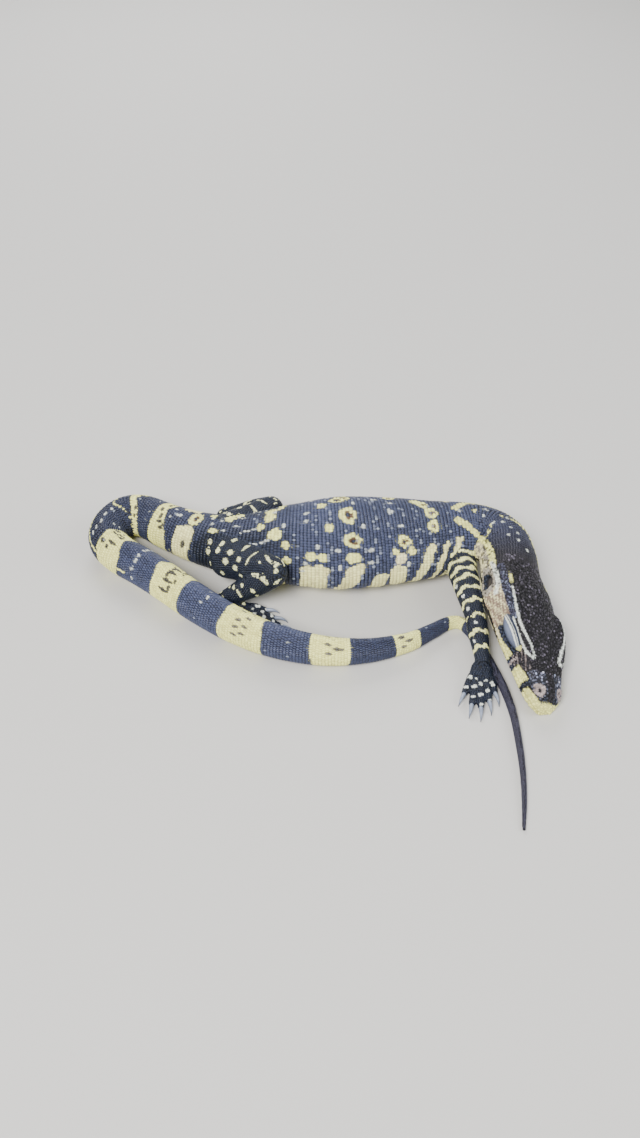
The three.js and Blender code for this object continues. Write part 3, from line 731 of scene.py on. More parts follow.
def paint_head(s, degrees, radius):
    """Colours for points of the head and neck, by place and degrees folded to one side."""
    mottle = wobble(s * 2.9, degrees * 0.21, s * 1.3 + degrees * 0.13)
    speckle = wobble(s * 4.7, degrees * 0.43)
    toward_trunk = unit((s - 40) / 22)[:, None]
    colour = CROWN * (1 - toward_trunk) + SLATE * toward_trunk

    def zone(start, end, low=-1, high=361):
        return (s > start) & (s < end) & (degrees > low) & (degrees < high)

    def lay(where, tint, *parts):
        """Paint a zone, then the parts of it given as more masks and tints."""
        colour[where] = tint
        for mask, part_tint in zip(parts[::2], parts[1::2]):
            colour[where & mask] = part_tint

    def lay_line(corners, half, tint, only=True):
        lay((far_from_line(s, degrees, radius, corners) < half) & only, tint)

    lay(zone(19, 37, 134, 156), SLATE * 0.55 + PLUM * 0.3, speckle > 0.42, BLUE_GREY)
    lay(zone(7.5, 13.5, 138), CROWN * 1.6, ((degrees + 4 * s) % 13 < 3.2) & (degrees < 182), ROSE * 0.55)
    lay(zone(12.5, 22, 150, 186), DARK * 1.5)
    lay(zone(20.5, 30.2, 149, 197), CREAM * 0.85,
        wobble(s * 4.3, degrees * 0.47) > 0.12, UMBER * 1.2 + BUFF_GREY * 0.35)
    lay(zone(15, 20.5, 186, 202), CREAM * 0.75)
    lay(zone(12.7, 17.8, 173 + 3.1 * (s - 12.4)), YELLOW * 0.92)
    lay(zone(5.6, 9.6, 157 + 3.5 * (s - 6.6)), YELLOW * 0.92)
    lay(zone(9.6, 12.7, 184), DARK * 1.2)
    lay(zone(11.1, 11.7, 165), ROSE * 0.8)
    # the snout is dark with blue-grey specks, partly its own mottling and partly painted blue-grey sheen
    lay(zone(-99, 7, 104, 152), CROWN * 2 + BLUE_GREY * 0.15, speckle > 0.35, BLUE_GREY * 0.7)
    lay(zone(4.1, 5.6, 148), DARK)
    around_nose = np.hypot((s - NOSTRIL["s"] + 0.1) / 1.25, (degrees - NOSTRIL_ROUND) / 20)
    lay(around_nose < 1, ROSE, around_nose < 0.36, DARK)
    lay(s < 0.75 + 3.4 * unit((degrees - 144) / 24), YELLOW * 0.95)
    lay(np.hypot((s - 1.15) / 0.4, (degrees - 116) / 12) < 1, DARK)
    lay(zone(4, 999, 212), CREAM * 0.9, np.sin(s * 2 * np.pi / 6.4 + degrees * 0.03) > 0.45, DARK * 1.6)
    lay(zone(36.5, 57.5 + 2 * mottle + speckle, 149, 200), BUFF_GREY * 0.8, mottle > 0.05, CREAM * 0.9,
        speckle > 0.45 - 0.06 * np.clip(s - 52, 0, 6), CROWN * 2)

    lay_line(SIDE_LINE, 0.95 + 0.5 * mottle, YELLOW * 0.9, speckle < 0.5)
    lay_line(NAPE_FORK, 0.45, YELLOW * 0.9, mottle < 0.2)
    around_ear = np.hypot((s - EAR["s"]) / 2.5, (degrees - EAR_ROUND) / 13)
    lay(around_ear < 1.75 + 0.15 * mottle, BUFF_GREY)
    lay_line(EAR_RIM, 0.6, PALE * 0.9 + CREAM * 0.1, degrees < 185)
    lay(around_ear < 1.05, DARK * 1.4)
    for stripe in (TEMPLE_STRIPE, BROW_STRIPE):
        lay_line(stripe, 0.23 + 0.06 * mottle, PALE)
    lay_line(TEMPLE_DASH, 0.4, YELLOW * 0.8)
    return colour


# %% Marks of the trunk and tail
def scale_noise(s, degrees, radius):
    """A number from -1 to 1 that changes from one scale to the next."""
    return np.sin(np.floor(s / 0.96) * 78.2 + np.floor(np.radians(degrees) * radius / 0.8) * 12.9)


def with_twins(rows):
    """Each mark, and after it its twin on the left side, unless it is on the ridge or hidden."""
    for at, round_at, long, broad in rows:
        yield at, round_at, long, broad
        if abs(round_at - 90) >= 14 and (at >= 136 or round_at >= 104):
            yield at + 1.8 * (at < 136), 180 - round_at, long, broad


def paint_trunk(s, degrees, full_turn, radius, on_left):
    """Colours for points of the body behind the head."""
    ragged = wobble(s * 3.3, degrees * 0.29, s * 1.7 - degrees * 0.2)
    by_scale = scale_noise(s, degrees, radius)
    # the dark ground colour along the body, carrying the painted light and shade of the profile above
    tint = SLATE * (shade(s) * (0.9 + 0.1 * wobble(s * 0.5, degrees * 0.05)))[:, None]
    # painted shade: the flank is darker beside the thigh and below the root of the arm
    hip = unit((s - 108) / 12) * unit((141 - s) / 8) * unit((degrees - 95) / 30)
    shoulder = swell(s, 66, 7) * unit((degrees - 125) / 25)
    limb_shade = np.maximum(hip, 0.8 * shoulder)[:, None]
    tint = tint * (1 - limb_shade) + DARK * 1.25 * limb_shade

    for foot, top, top_degrees, half in FLANK_BARS:
        climb = np.clip((degrees - top_degrees) / (205 - top_degrees), -0.2, 1)
        middle = top + (foot - top) * climb + 1.6 * on_left
        rounded = half * np.sqrt(unit((climb + 0.04) * 9))
        top_edge = -0.03 + 0.05 * np.sin(np.floor(s / 0.96) * 5.1)
        edge = rounded + 0.2 * ragged + 0.15 * by_scale
        tint[(np.abs(s - middle) < edge) & (climb > top_edge)] = CREAM * 0.5 + YELLOW * 0.5

    on_tail = s > 136
    down = unit((degrees - 95) / 75)
    for number, (at, side_at, half, side_half) in enumerate(TAIL_BANDS):
        reach = half + (side_half - half) * down
        edge = (0.35 if half > 1 else 0.15) * scale_noise(np.full(len(s), 9.7 * number), degrees, radius)
        tint[on_tail & (np.abs(s - (at + (side_at - at) * down)) < reach + edge)] = YELLOW
    signed = (full_turn + 180) % 360 - 180
    on_line = far_from_line(s, signed, radius, BEND_LINE) < 0.33
    tint[(s > 160) & (s < 196) & on_line & (ragged < 0.6)] = YELLOW
    under_line = on_tail & (degrees > 222) & (s < 200) & (wobble(s * 1.9, degrees * 0.1) > -0.2)
    tint[under_line] = YELLOW * 0.85

    tints = dict(ring=YELLOW, buff=CREAM, spot=YELLOW, fleck=PALE * 0.8, stroke=OLIVE * 0.8)
    for kind, rows in MARKS.items():
        for at, round_at, long, broad in with_twins(rows):
            near = np.flatnonzero(np.abs(s - at) < 1.7 * long)
            off_s = (s[near] - at) / long
            off_round = np.radians((full_turn[near] - round_at + 180) % 360 - 180) * radius[near] / broad
            away = np.hypot(off_s, off_round) * (1.15 if kind == "fleck" else 1)
            inside = away + 0.16 * ragged[near] + 0.1 * by_scale[near] < 1
            faint = kind == "stroke" and at > 215
            tint[near[inside]] = OLIVE * 1.7 if faint else tints[kind]
            if kind == "ring":
                uneven = 0.2 * wobble(s[near] * 5.1, degrees[near] * 0.5)
                centre = np.hypot(off_s + 0.1, off_round - 0.05) + uneven
                tint[near[centre < 0.46]] = UMBER
                tint[near[centre < 0.26]] = SLATE * 0.6
    tip = (unit((s - 292) / 20) * on_tail)[:, None]
    return tint * (1 - 0.45 * tip) + PLUM * 0.3 * tip


# %% Marks of the limbs
def paint_limb(name, s, a):
    """Colours for points of a limb or its toes, by place along it and angle round it."""
    rough = wobble(s * 2.7, a * 3.0, s * 1.1 + a * 2.0)
    tint = np.tile(DARK, (len(s), 1))
    if name.endswith("_toes"):
        joint = np.hypot((s % 2.7 - 1.3) / 0.5, np.cos(a - 0.3 * np.sin(s * 2)) * 1.1 / 0.7)
        tint[(joint + 0.35 * rough < 1) & (np.sin(a) > 0)] = PALE * 0.95
        return tint
    if name.endswith("_arm"):
        arched = s + 0.7 * np.cos(a - 1.5) + 0.3 * np.sin(5 * a + s)
        for at in ARM_BARS:
            part_way = np.cos(a - 1.3 - 0.4 * math.sin(at)) > -0.35 - 0.5 * rough
            tint[(np.abs(arched - at - 0.45) < 0.5 + 0.16 * rough) & part_way] = YELLOW * 0.8 + PALE * 0.2
        for at, round_at in ARM_DOTS:
            away = np.hypot(s - at, (np.degrees(a) - round_at + 180) % 360 * 0.05 - 9)
            tint[away < 0.55 + 0.2 * rough] = PALE
        return tint
    degrees = np.degrees(np.pi - a if name.startswith("left") else a) % 360
    radius = np.interp(s, [0, 18, 24, 40, 50], [5.8, 4.2, 3.6, 2.8, 2.4])
    straw = YELLOW * 0.6 + PALE * 0.4
    for at, round_at, long, broad in LEG_MARKS:
        off_round = np.radians((degrees - round_at + 180) % 360 - 180) * radius
        tint[np.hypot((s - at) / long, off_round / broad) + 0.2 * rough < 1] = straw
    for corners, half in zip(LEG_LINES, (0.2, 0.42)):
        tint[(far_from_line(s, degrees, radius, corners) < half) & (rough < 0.5)] = straw
    return tint


# %% The whole pattern
def paint(part, along, angle):
    """Linear colours of the markings for points in the chart."""
    colour = np.zeros((len(part), 3))
    body = part == 0
    s, a = along[body], angle[body]
    degrees, on_left = both_sides(a)
    radius = mean_radius(s)
    tint = paint_trunk(s, degrees, np.degrees(a) % 360, radius, on_left)
    in_front = (s < 42) | ((s < 68) & (tint[:, 0] < 0.1))
    tint[in_front] = paint_head(s[in_front], degrees[in_front], radius[in_front])
    colour[body] = tint
    for index, name in enumerate(PARTS[1:], 1):
        here = part == index
        if here.any():
            colour[here] = paint_limb(name, along[here], angle[here])
    return colour


part, along, angle, toe = chart(read(skin.data) / MM)
pattern = paint(part, along, angle)
# the skin shows only in the gaps between the beads, and is painted darker than the pattern: painted shade in
# those gaps
put_colours(skin.data, pattern * np.where(pattern[:, :1] > 0.2, 0.7, 0.2))
print("painted", len(pattern), "points, light share %.2f" % (pattern[:, 0] > 0.3).mean())

# %% [markdown]
# ## One scale, twenty-eight thousand times
# A monitor's scales are small beads in rows across the body, each ringed by tiny grains, so from
# close by the skin looks like woven beadwork. One bead is modelled with a few faces. It is then
# repeated in rows round the law of the body, turned to lie along it, and the gaps are filled
# with scattered beads, as on the head, where the real ones are in no order.

# %% One bead
BEAD_SIDES = 7
BEAD_RADIUS = 0.56


def bead_shape(keel):
    """Corners and faces of one scale a millimetre across, lying along x with its head up z."""
    bm = bmesh.new()
    bmesh.ops.create_circle(bm, cap_ends=True, segments=BEAD_SIDES, radius=BEAD_RADIUS)
    bmesh.ops.inset_region(bm, faces=bm.faces[:], thickness=0.17, depth=0, use_boundary=True)
    inner = [v for v in bm.verts if v.co.length < 0.5]
    bmesh.ops.poke(bm, faces=[f for f in bm.faces if len(f.verts) == BEAD_SIDES])
    for v in bm.verts:
        reach = v.co.length
        v.co.z = -0.14 if reach > 0.5 else (0.13 if reach > 0.1 else 0.17 + keel * 0.12)
    for v in inner:
        v.co.y *= 1 - keel * 0.55
        v.co.x *= 1 + keel * 0.2
    bm.verts.ensure_lookup_table()
    corners = np.array([v.co for v in bm.verts])
    faces = [[v.index for v in f.verts] for f in bm.faces]
    bm.free()
    return corners, faces


ROUND_BEAD, KEELED_BEAD = bead_shape(0), bead_shape(1)
print("one bead:", sum(len(f) - 2 for f in ROUND_BEAD[1]), "triangles")

# %% Rows of roots
surface = BVHTree.FromObject(skin, bpy.context.evaluated_depsgraph_get())


def on_skin(points, most=0.6):
    """The nearest places on the skin and its normals there, with a mask of those near enough."""
    places, normals, near = points.copy(), np.zeros_like(points), np.zeros(len(points), bool)
    for i, q in enumerate(points):
        hit, normal, _, far = surface.find_nearest(Vector(q) * MM)
        if hit is not None and far < most * MM:
            places[i], normals[i], near[i] = np.array(hit) / MM, normal, True
    return places, normals, near


def pitch_of(s):
    """How far apart the scales stand along the body."""
    return np.interp(s, [0, 20, 38, 50, 64, 129, 174, 244, 294, 334, 356],
                     [0.72, 0.74, 0.76, 0.86, 0.96, 0.96, 0.88, 0.8, 0.62, 0.5, 0.42])


def even_angles(outline_at, gap, stagger):
    """Angles at equal steps of gap mm round a closed outline, as the law of the body draws it."""
    fine = np.linspace(0, 2 * np.pi, 181)
    outline = outline_at(fine)
    run = np.concatenate([[0], np.cumsum(np.linalg.norm(np.diff(outline, axis=0), axis=1))])
    count = max(5, int(round(run[-1] / gap)))
    return np.interp((np.arange(count) + stagger) / count * run[-1], run, fine)


root_rows, tail_ways, gaps = [], [], []


def add_row(outline_at, gap, row, way, close=0.96):
    angles = even_angles(outline_at, gap * close, 0.5 * (row % 2) + 0.07 * math.sin(row * 1.7))
    points = outline_at(angles)
    root_rows.append(points + rng.normal(0, 0.035 * gap, points.shape))
    tail_ways.append(np.broadcast_to(way, points.shape))
    gaps.append(np.full(len(points), gap))


s, row = 38.0, 0
while s < backbone.length - 0.8:
    gap = float(pitch_of(s))
    ribbed = min(max((s - 54) / 10, 0), 1)
    add_row(lambda a: section(np.full(len(a), s), a), gap, row, np.append(-backbone.at(s)[1], 0),
            0.96 - 0.14 * ribbed)
    s, row = s + gap * (0.86 + 0.14 * ribbed), row + 1
in_limbs = [(tube, 0.72, 0.02) for tubes in limb_tubes.values() for tube in tubes]
for tube, gap, first in in_limbs + [(tube, 0.62, 0.08) for _, tube in toe_list]:
    for row, t in enumerate(np.arange(first, 0.99, gap * 0.86 / tube.line.length)):
        add_row(lambda a: tube.surface(np.full(len(a), t), a), gap, row, tube.frame(np.array(t))[1])
print("roots in rows:", sum(len(r) for r in root_rows))

# %% Plates along the lips
LIP_STEP = 1.05
lip_roots, lip_ways = [], []
for side in SIDES.values():
    for jaw in (1, -1):
        for s in np.arange(0.7 + 0.3 * jaw, MOUTH_CORNER - 1, LIP_STEP):
            up = float(mouth_height(s)) + jaw * 0.66
            outside, inside = place(s, side * 14, up), place(s, 0, up)
            hit = surface.ray_cast(Vector(outside) * MM, Vector(inside - outside).normalized())[0]
            if hit is not None:
                lip_roots.append(np.array(hit) / MM)
                lip_ways.append(np.append(-backbone.at(s)[1], 0))
print("lip plates:", len(lip_roots))

# %% Beads scattered over the rest
SCATTERED = 150000
skin.data.calc_loop_triangles()
triangles = np.empty(len(skin.data.loop_triangles) * 3, int)
skin.data.loop_triangles.foreach_get("vertices", triangles)
abc = (read(skin.data) / MM)[triangles.reshape(-1, 3)]
areas = np.linalg.norm(np.cross(abc[:, 1] - abc[:, 0], abc[:, 2] - abc[:, 0]), axis=1)
chosen = rng.choice(len(areas), SCATTERED, p=areas / areas.sum())
share = rng.dirichlet((1, 1, 1), SCATTERED)
scattered = (abc[chosen] * share[:, :, None]).sum(1)

in_rows = np.vstack(root_rows)
row_tree = KDTree(len(in_rows))
for i, q in enumerate(in_rows):
    row_tree.insert(q, i)
row_tree.balance()
nearest_row = np.array([row_tree.find(q)[1] for q in scattered])
row_ways, row_gaps = np.vstack(tail_ways), np.concatenate(gaps)
s, out, up = head_place(scattered)
on_head = (s > -2) & (s < 39) & (np.abs(out) < 13) & (np.abs(up) < 11)
scattered_ways = np.where(on_head[:, None], np.append(-backbone.at(10.0)[1], 0), row_ways[nearest_row])
head_gap = 0.62 + 0.1 * unit(wobble(s * 0.9, out * 1.1) + 0.4)
scattered_gaps = np.where(on_head, head_gap, row_gaps[nearest_row] * 0.92)


# %% Keep the beads apart
def keep_apart(points, room):
    """Which points to keep, taken in order, so that none stands in the room of one kept before."""
    cell = 0.5
    kept = np.zeros(len(points), bool)
    boxes = {}
    keys = np.floor(points / cell).astype(int).tolist()
    around = [(i, j, k) for i in (-1, 0, 1) for j in (-1, 0, 1) for k in (-1, 0, 1)]
    for n, (x, y, z) in enumerate(points.tolist()):
        a, b, c = keys[n]
        near = [q for i, j, k in around for q in boxes.get((a + i, b + j, c + k), ())]
        nearest = min(((qx - x) ** 2 + (qy - y) ** 2 + (qz - z) ** 2 for qx, qy, qz in near), default=9)
        if nearest >= room[n] ** 2:
            kept[n] = True
            boxes.setdefault((a, b, c), []).append((x, y, z))
    return kept


roots = np.vstack([lip_roots, in_rows, scattered])
ways = np.vstack([lip_ways, row_ways, scattered_ways])
gap_of = np.concatenate([np.full(len(lip_roots), LIP_STEP), row_gaps, scattered_gaps])
room = np.concatenate([np.full(len(lip_roots), 0.3), row_gaps * 0.58, scattered_gaps * 0.8])
roots, normals, near = on_skin(roots, 0.75)
s, out, up = head_place(roots)
in_hollow = np.zeros(len(roots), bool)
for hollow, long, tall in ((EYE, 5.0, 2.15), (EAR, 2.1, 1.5), (NOSTRIL, 0.6, 0.5)):
    in_hollow |= np.hypot((s - hollow["s"]) / long, (up - hollow["up"]) / tall) < 1
in_hollow &= (np.abs(out) > 2) & (s < 44)
between_lips = (s > -2) & (s < MOUTH_CORNER) & (np.abs(up - mouth_height(s)) < 0.16)
between_lips &= (np.abs(out) > 1) & (np.abs(out) < 13)
on_floor = (roots[:, 2] < 0.05) & (normals[:, 2] < -0.6)
sound = near & ~in_hollow & ~between_lips & ~on_floor
roots, normals, ways, gap_of, room = (x[sound] for x in (roots, normals, ways, gap_of, room))
kept = keep_apart(roots, room)
roots, normals, ways, gap_of = (x[kept] for x in (roots, normals, ways, gap_of))
part, along, angle, toe = chart(roots)
print("scales:", len(roots))

# %% [markdown]
# The beads are laid out with array arithmetic, because tens of thousands of separate objects
# would be slow. Each bead also gets its own small patch in a UV map, at its root's place on the
# unrolled skin, so that colours can later be baked without neighbours sharing a patch.

# %% How light each bead is
def moods(part, s, angle):
    """For each bead its lightness, the lightness of its rim beside its crown (painted shade in the gaps
    between beads, and on the nape a pale rim of its own colour), and an added glint.
    """
    degrees, _ = both_sides(angle)
    chance, body = rng.random(len(s)), part == 0
    light = rng.uniform(0.82, 1.22, len(s))
    crown = body & (s > 3) & (s < 40) & (degrees < 133)
    light[crown] = np.clip(np.exp(rng.normal(0.1, 0.95, crown.sum())), 0.3, 8)
    netted = body & (s > 30) & (s < 58) & (degrees > 140) & (degrees < 205)
    light[netted & (chance < 0.25)] = 0.2
    # painted shade: the rims of the beads are darker than their crowns where they dip into the gaps; on the
    # nape the rims are lighter, a pale net of the skin's own colour
    rim = np.full(len(s), 0.16)
    rim[body & (s > 38) & (s < 54) & (degrees < 150)] = 2.6
    shining = 0.08 + 0.5 * swell(s, 103, 5) + 0.6 * swell(s, 88, 5) + 0.5 * swell(s, 76, 4)
    run = (np.sin(s * 5) > 0) & (np.sin(degrees * 0.3 + s * 3.1) > 0) & (chance < shining)
    glint = np.where(body & (s > 62) & (s < 136) & run, rng.uniform(0.06, 0.26, len(s)), 0)
    glint[body & (s > 136) & (s < 290) & (chance < 0.01)] = 0.2
    return light, rim, glint


lightness, rim_shade_and_tone, glint = moods(part, along, angle)
PART_RADIUS = np.array([1.0] + [3.0, 3.0, 3.8, 3.8] + [1.1] * 4)

# %% Shape and colour of the beads of a piece
def bead_corners(mask, shape, size):
    """Where the corners of the masked beads stand, in mm."""
    z = normals[mask]
    x = ways[mask] - z * (ways[mask] * z).sum(1, keepdims=True)
    x /= np.linalg.norm(x, axis=1, keepdims=True) + 1e-9
    y = np.cross(z, x)
    lift = shape[:, :, 2:] + 0.1 * shape[:, :, :1]
    corners = roots[mask][:, None] + size * (
        shape[:, :, :1] * x[:, None] + shape[:, :, 1:2] * y[:, None] + lift * z[:, None])
    corners[..., 2] = np.maximum(corners[..., 2], 0)
    return corners


def bead_colours(mask, shape, size):
    """The pattern at each corner of the masked beads, with their own light and shade."""
    n, count = shape.shape[:2]
    parts, s = part[mask], along[mask]
    on_body = parts == 0
    around = np.where(on_body, mean_radius(s), -PART_RADIUS[parts])
    spread = np.where(on_body & (s < 60), 1, 0.5)[:, None] * size[:, :, 0]
    here_s = s[:, None] + spread * shape[:, :, 0]
    here_angle = angle[mask][:, None] + spread * shape[:, :, 1] / around[:, None]
    colour = paint(np.repeat(parts, count), here_s.ravel(), (here_angle % (2 * np.pi)).ravel())
    colour = colour.reshape(n, count, 3)
    pale = (colour[:, :, :1] > 0.2).astype(float)
    at_rim = (np.linalg.norm(ROUND_BEAD[0][:, :2], axis=1) > 0.5)[None, :, None]
    # painted shade at the rims of the beads, less on pale marks
    tone = np.where(at_rim, rim_shade_and_tone[mask][:, None, None] * (1 - pale) + 0.72 * pale, 1)
    # in the ribbed rows the painted shade is deepest at the ends of each bead, in the narrow gaps between
    # the ribs
    in_ribs = (on_body & (s > 62) & (s < 292))[:, None, None]
    end = (np.abs(ROUND_BEAD[0][:, 0]) / BEAD_RADIUS)[None, :, None] ** 1.5
    ribbed_gap_shade = 1 - (0.92 - 0.27 * pale) * end * at_rim - 0.2 * (1 - end) * at_rim
    bright = lightness[mask][:, None, None]
    light = bright * (1 - pale) + np.where(bright < 0.5, bright, np.clip(bright, 0.8, 1.1)) * pale
    sparkle = glint[mask][:, None, None] * (1 - pale) * ~at_rim * np.array([0.9, 1, 1.15])
    return colour * np.where(in_ribs, ribbed_gap_shade, tone) * light + sparkle


# %% Join the beads into pieces
PATCH = 0.003


def joined(name, mask, keel, stretch, patch_centres):
    """One mesh of all the beads in the mask."""
    n, count = mask.sum(), len(ROUND_BEAD[0])
    keel = keel[:, None, None]
    shape = ROUND_BEAD[0][None] * (1 - keel) + KEELED_BEAD[0][None] * keel
    shape = shape * np.stack([stretch, 1 / np.sqrt(stretch), np.ones(n)], -1)[:, None]
    size = (gap_of[mask] * rng.uniform(0.92, 1.1, n))[:, None, None]
    loops = np.array([v for face in ROUND_BEAD[1] for v in face])
    starts = np.cumsum([0] + [len(face) for face in ROUND_BEAD[1]])[:-1]
    bead = np.arange(n)[:, None]
    mesh = bpy.data.meshes.new(name)
    for corners, key, values in (
            (mesh.vertices, "co", bead_corners(mask, shape, size) * MM),
            (mesh.loops, "vertex_index", bead * count + loops),
            (mesh.polygons, "loop_start", bead * len(loops) + starts)):
        corners.add(values.size // (3 if key == "co" else 1))
        corners.foreach_set(key, values.ravel())
    mesh.update(calc_edges=True)
    put_colours(mesh, bead_colours(mask, shape, size).reshape(-1, 3))
    patch = patch_centres[:, None] + ROUND_BEAD[0][None, :, :2] * PATCH
    mesh.uv_layers.new(name="OFBake").data.foreach_set("uv", patch[:, loops].ravel().astype("f"))
    return linked(name, mesh)


# %% The pieces of scales
REGIONS = [("head", 0, 40), ("neck", 40, 66), ("shoulder", 66, 88), ("chest", 88, 108), ("hip", 108, 137),
           ("tail_root", 137, 194), ("tail", 194, 254), ("tail_end", 254, 361)]


def in_sheet(x, y):
    """Places in the sheet of the UV map, a little in from its edges."""
    return np.stack([0.01 + 0.98 * x, 0.01 + 0.98 * y], -1)


scale_pieces = []
for name, low, high in REGIONS:
    mask = (part == 0) & (along >= low) & (along < high)
    keel = np.interp(along[mask], [40, 66, 137, 184], [0, 0.15, 0.35, 0.7])
    centres = in_sheet((along[mask] - low) / (high - low), angle[mask] / (2 * np.pi))
    scale_pieces.append(joined(name + "_scales", mask, keel, 1 + 0.3 * keel, centres))
for name in LIMBS:
    on_toes = part == PARTS.index(name + "_toes")
    mask = on_toes | (part == PARTS.index(name))
    round_it = angle[mask] / (2 * np.pi)
    strip = np.where(on_toes[mask], 0.5 + 0.1 * (toe[mask] + round_it), 0.49 * round_it)
    reach = along[mask] / np.where(on_toes[mask], 15, 60)
    centres = np.stack([0.01 + 0.98 * unit(reach), 0.005 + 0.99 * strip], -1)
    even = np.ones(mask.sum())
    scale_pieces.append(joined(name + "_scales", mask, even * 0.25, even * 1.05, centres))
for piece in scale_pieces:
    print(piece.name, triangle_count(piece.data), "triangles")

# %% [markdown]
# ## Closed eyes, ear drums and claws
# The lower lid of a sleeping monitor is a full, smooth almond that closes upwards, and the slit
# lies high under a pale rim. Each pair of lids is an egg with a groove and its own colours. The
# ear drum is a thin tilted membrane in its cup, and each claw a hooked cone of horn.


# %% Coloured pieces
def coloured(name, mesh, colour_at):
    """An object whose vertices take the colours of colour_at(points in mm)."""
    put_colours(mesh, colour_at(read(mesh) / MM))
    mesh.name = name
    return linked(name, mesh)


# %% Eyelids
LID = dict(half_long=4.9, half_deep=1.9, half_tall=2.3)
SLIT = 0.62


def lid_mesh(side):
    bm = bmesh.new()
    bmesh.ops.create_uvsphere(bm, u_segments=72, v_segments=48, radius=1)

    def move(q):
        along, tall = q[:, 0], q[:, 2]
        slit_height = SLIT * (1 - along ** 2) - 0.05
        groove = swell(tall, slit_height, 0.07) * np.sqrt(unit(1 - along ** 2))
        rim = swell(tall - slit_height, 0.17, 0.09)
        deep = q[:, 1] * (LID["half_deep"] * (1 - 0.16 * groove + 0.07 * rim))
        almond = 1 - 0.22 * np.abs(along) ** 1.6
        at = EYE["s"] + along * LID["half_long"]
        out = side * (EYE["out"] + 0.25) * (half_width(at) / half_width(EYE["s"]))
        return place(at, out + deep, EYE["up"] + tall * LID["half_tall"] * almond)
    return moved(bm, move)


def lid_colours(p):
    s, _, up = head_place(p)
    along, tall = (s - EYE["s"]) / LID["half_long"], (up - EYE["up"]) / LID["half_tall"]
    above_slit = tall - SLIT * (1 - along ** 2) + 0.05
    # painted highlight: the lid is lighter blue-grey in the middle of its bulge and darker towards its edges
    lid_highlight = unit(1 - np.hypot(along / 1.1, (tall - 0.1) / 0.8))[:, None]
    colour = np.array([0.05, 0.06, 0.11]) * (1 - lid_highlight) + np.array([0.2, 0.235, 0.34]) * lid_highlight
    for edge, tint in ((-0.2, PALE * 0.85), (-0.05, DARK), (0.05, PALE * 0.6), (0.16, DARK * 1.4)):
        colour[above_slit > edge] = tint
    colour[along < -0.84] = YELLOW * 0.7
    colour[along > 0.9] = DARK * 2
    return colour


lids = {name: coloured("lids_" + name, lid_mesh(side), lid_colours) for name, side in SIDES.items()}

# %% Ear drums
DRUM_BROWN = np.array([[0.045, 0.038, 0.042]])
ear_drums = {}
for name, side in SIDES.items():
    egg = head_egg(EAR["s"], side * (EAR["out"] - 0.75), EAR["up"], (2.2, 0.4, 1.6), 40)
    ear_drums[name] = coloured("ear_drum_" + name, egg, lambda p: DRUM_BROWN.repeat(len(p), 0))


# %% Claws
def claw_colours(p):
    # darker near the ground and lighter towards the top of the arch
    height = unit(p[:, 2] / 1.6)[:, None]
    return np.array([0.05, 0.055, 0.075]) * (1 - height) + np.array([0.26, 0.3, 0.4]) * height


claw_pieces = []
for index, name in enumerate(LIMBS):
    horns = [tube_mesh(Tube(hook, (0.6, 0.5, 0.31, 0.09), flat=1.1), 14, 22)
             for hook in claw_hooks[index * 5:index * 5 + 5]]
    claw_pieces.append(coloured(name + "_claws", merged(horns, "horns"), claw_colours))
print("claw pieces:", len(claw_pieces))

# %% [markdown]
# ## Materials
# All the pieces read their colour from the painted attribute. Noise on object coordinates adds
# the small unevenness of living skin, and a little clear coat gives the moist sheen of clean
# scales. The small class below lets shader maths be written as plain sums and products.


# %% Shader sums
class Value:
    """A shader socket that sums and products can be written with."""

    def __init__(self, tree, socket):
        self.tree, self.socket = tree, socket

    def plug(self, socket, value):
        """Link or set one socket."""
        if isinstance(value, Value):
            self.tree.links.new(value.socket, socket)
        else:
            socket.default_value = value

    def node(self, kind, settings=None, **inputs):
        """Add a node of a type, set its settings first, then the values or links of its sockets."""
        made = self.tree.nodes.new(kind)
        for key, setting in (settings or {}).items():
            setattr(made, key, setting)
        for key, value in inputs.items():
            wanted = key.replace("_", " ").lower()
            self.plug(next(k for k in made.inputs if k.enabled and k.name.lower() == wanted), value)
        return made

    def maths(self, operation, *values):
        made = self.node("ShaderNodeMath", {"operation": operation})
        for socket, value in zip(made.inputs, values):
            self.plug(socket, value)
        return Value(self.tree, made.outputs[0])

    def __add__(self, other):
        return self.maths("ADD", self, other)

    def __mul__(self, other):
        return self.maths("MULTIPLY", self, other)

    def __sub__(self, other):
        return self.maths("SUBTRACT", self, other)

    def __rsub__(self, other):
        return self.maths("SUBTRACT", other, self)

    __radd__ = __add__
    __rmul__ = __mul__


# %% Painted materials
def painted_material(name, roughness, coat, bump, grain, lively):
    """A material that reads the painted colours; grain is the size of its unevenness in mm."""
    material = bpy.data.materials.new(name)
    material.use_nodes = True
    tree = material.node_tree
    shader = tree.nodes["Principled BSDF"]
    start = Value(tree, None)
    colour = Value(tree, start.node("ShaderNodeAttribute", {"attribute_name": "paint"}).outputs["Color"])
    place_at = Value(tree, start.node("ShaderNodeTexCoord").outputs["Object"])

    def noise(size, detail):
        made = start.node("ShaderNodeTexNoise", vector=place_at, scale=1 / (size * MM), detail=detail)
        return Value(tree, made.outputs[0])

    fine, broad = noise(grain, 3.0), noise(6, 2.0)
    lightness = (1 - lively) + (fine + broad) * lively
    uneven = start.node("ShaderNodeVectorMath", {"operation": "SCALE"}, vector=colour, scale=lightness)
    tree.links.new(uneven.outputs[0], shader.inputs["Base Color"])
    tree.links.new((roughness - 0.08 + fine * 0.16).socket, shader.inputs["Roughness"])
    raised = start.node("ShaderNodeBump", height=fine, strength=bump, distance=grain * MM * 0.25)
    tree.links.new(raised.outputs[0], shader.inputs["Normal"])
    for socket, value in (("Coat Weight", coat), ("Coat Roughness", 0.3), ("Specular IOR Level", 0.27)):
        shader.inputs[socket].default_value = value
    return material


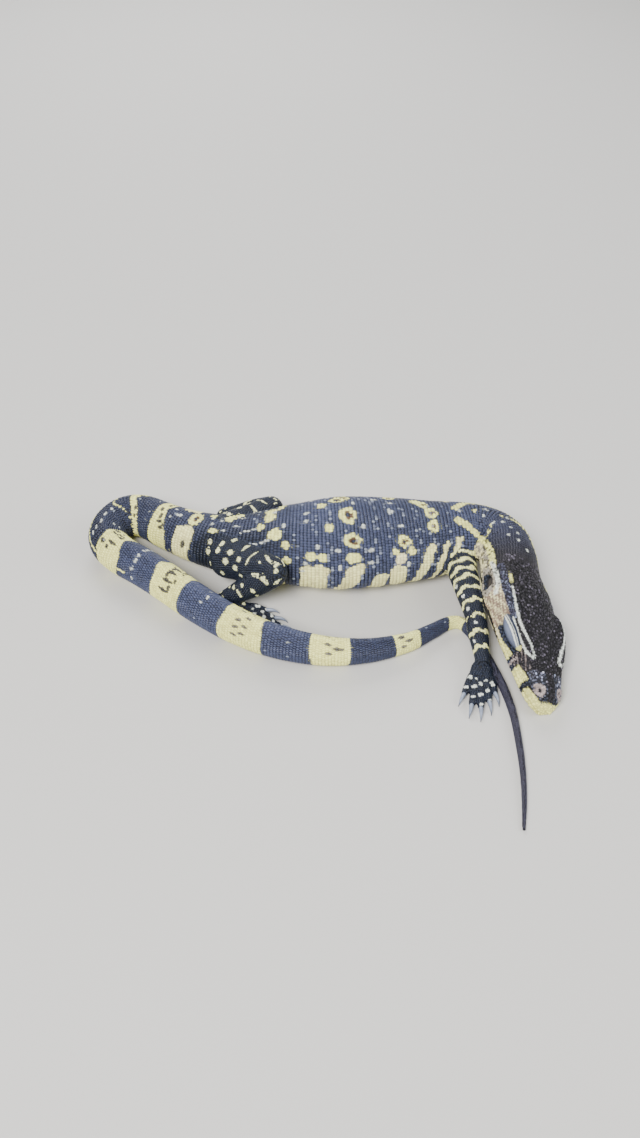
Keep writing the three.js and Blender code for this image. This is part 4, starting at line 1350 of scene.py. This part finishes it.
for pieces, *finish in ((scale_pieces, "beaded_scales", 0.36, 0.06, 0.35, 0.35, 0.3),
                        ([skin], "skin_between_scales", 0.62, 0.0, 0.6, 0.25, 0.35),
                        (lids.values(), "smooth_lid", 0.34, 0.25, 0.5, 0.22, 0.25),
                        (ear_drums.values(), "ear_drum", 0.3, 0.3, 0.3, 0.5, 0.4),
                        (claw_pieces, "horn", 0.24, 0.4, 0.25, 0.8, 0.5)):
    material = painted_material(*finish)
    for piece in pieces:
        piece.data.materials.clear()
        piece.data.materials.append(material)

# %% [markdown]
# ## What stands for what
# The skin takes the place of every solid of flesh, and the lids and ear drums replace their own
# solids. Nothing on a sleeping animal moves, so every piece rides on the one body.

# %% Hide the solids and hang the pieces on the root of the body
flesh = [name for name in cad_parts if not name.startswith(("eyelids", "eardrum"))]
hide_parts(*flesh)
for name in SIDES:
    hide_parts("eyelids_" + name)
    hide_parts("eardrum_" + name)
for slot, pieces in (("skin", [skin] + scale_pieces), ("lid", lids.values()),
                     ("eardrum", ear_drums.values()), ("claw", claw_pieces)):
    for piece in pieces:
        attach(piece, "root")

# %% [markdown]
# ## Floor and light
# The floor is a wide pale sheet that curves nowhere, and the light is that of a plain studio: a
# large soft lamp above and in front, a weaker one from the other side, and a pale surround.

# %% Floor
bm = bmesh.new()
bmesh.ops.create_grid(bm, x_segments=1, y_segments=1, size=3)
floor = linked("floor", mesh_of(bm, "floor"))
paper = bpy.data.materials.new("pale_paper")
paper.use_nodes = True
sheet = paper.node_tree.nodes["Principled BSDF"].inputs
sheet["Base Color"].default_value = (0.62, 0.61, 0.59, 1)
sheet["Roughness"].default_value = 0.85
floor.data.materials.append(paper)


# %% Lamps
def lamp(name, spot, power, width, tint):
    data = bpy.data.lights.new(name, "AREA")
    data.energy, data.size, data.color = power, width, tint
    made = linked(name, data)
    made.location = spot
    made.rotation_euler = Vector(spot).to_track_quat("Z", "Y").to_euler()


lamp("key_lamp", (-0.25, -0.45, 0.65), 11.0, 0.35, (1.0, 0.98, 0.95))
lamp("fill_lamp", (0.6, -0.1, 0.4), 3.0, 0.5, (0.93, 0.96, 1.0))
lamp("rim_lamp", (-0.1, 0.6, 0.45), 4.0, 0.4, (1.0, 1.0, 1.0))
world = bpy.data.worlds.new("studio")
world.use_nodes = True
sky = world.node_tree.nodes["Background"].inputs
sky["Color"].default_value = (0.9, 0.92, 0.95, 1)
sky["Strength"].default_value = 0.36
bpy.context.scene.world = world

# %% Bring the scene up to date
bpy.context.view_layer.update()
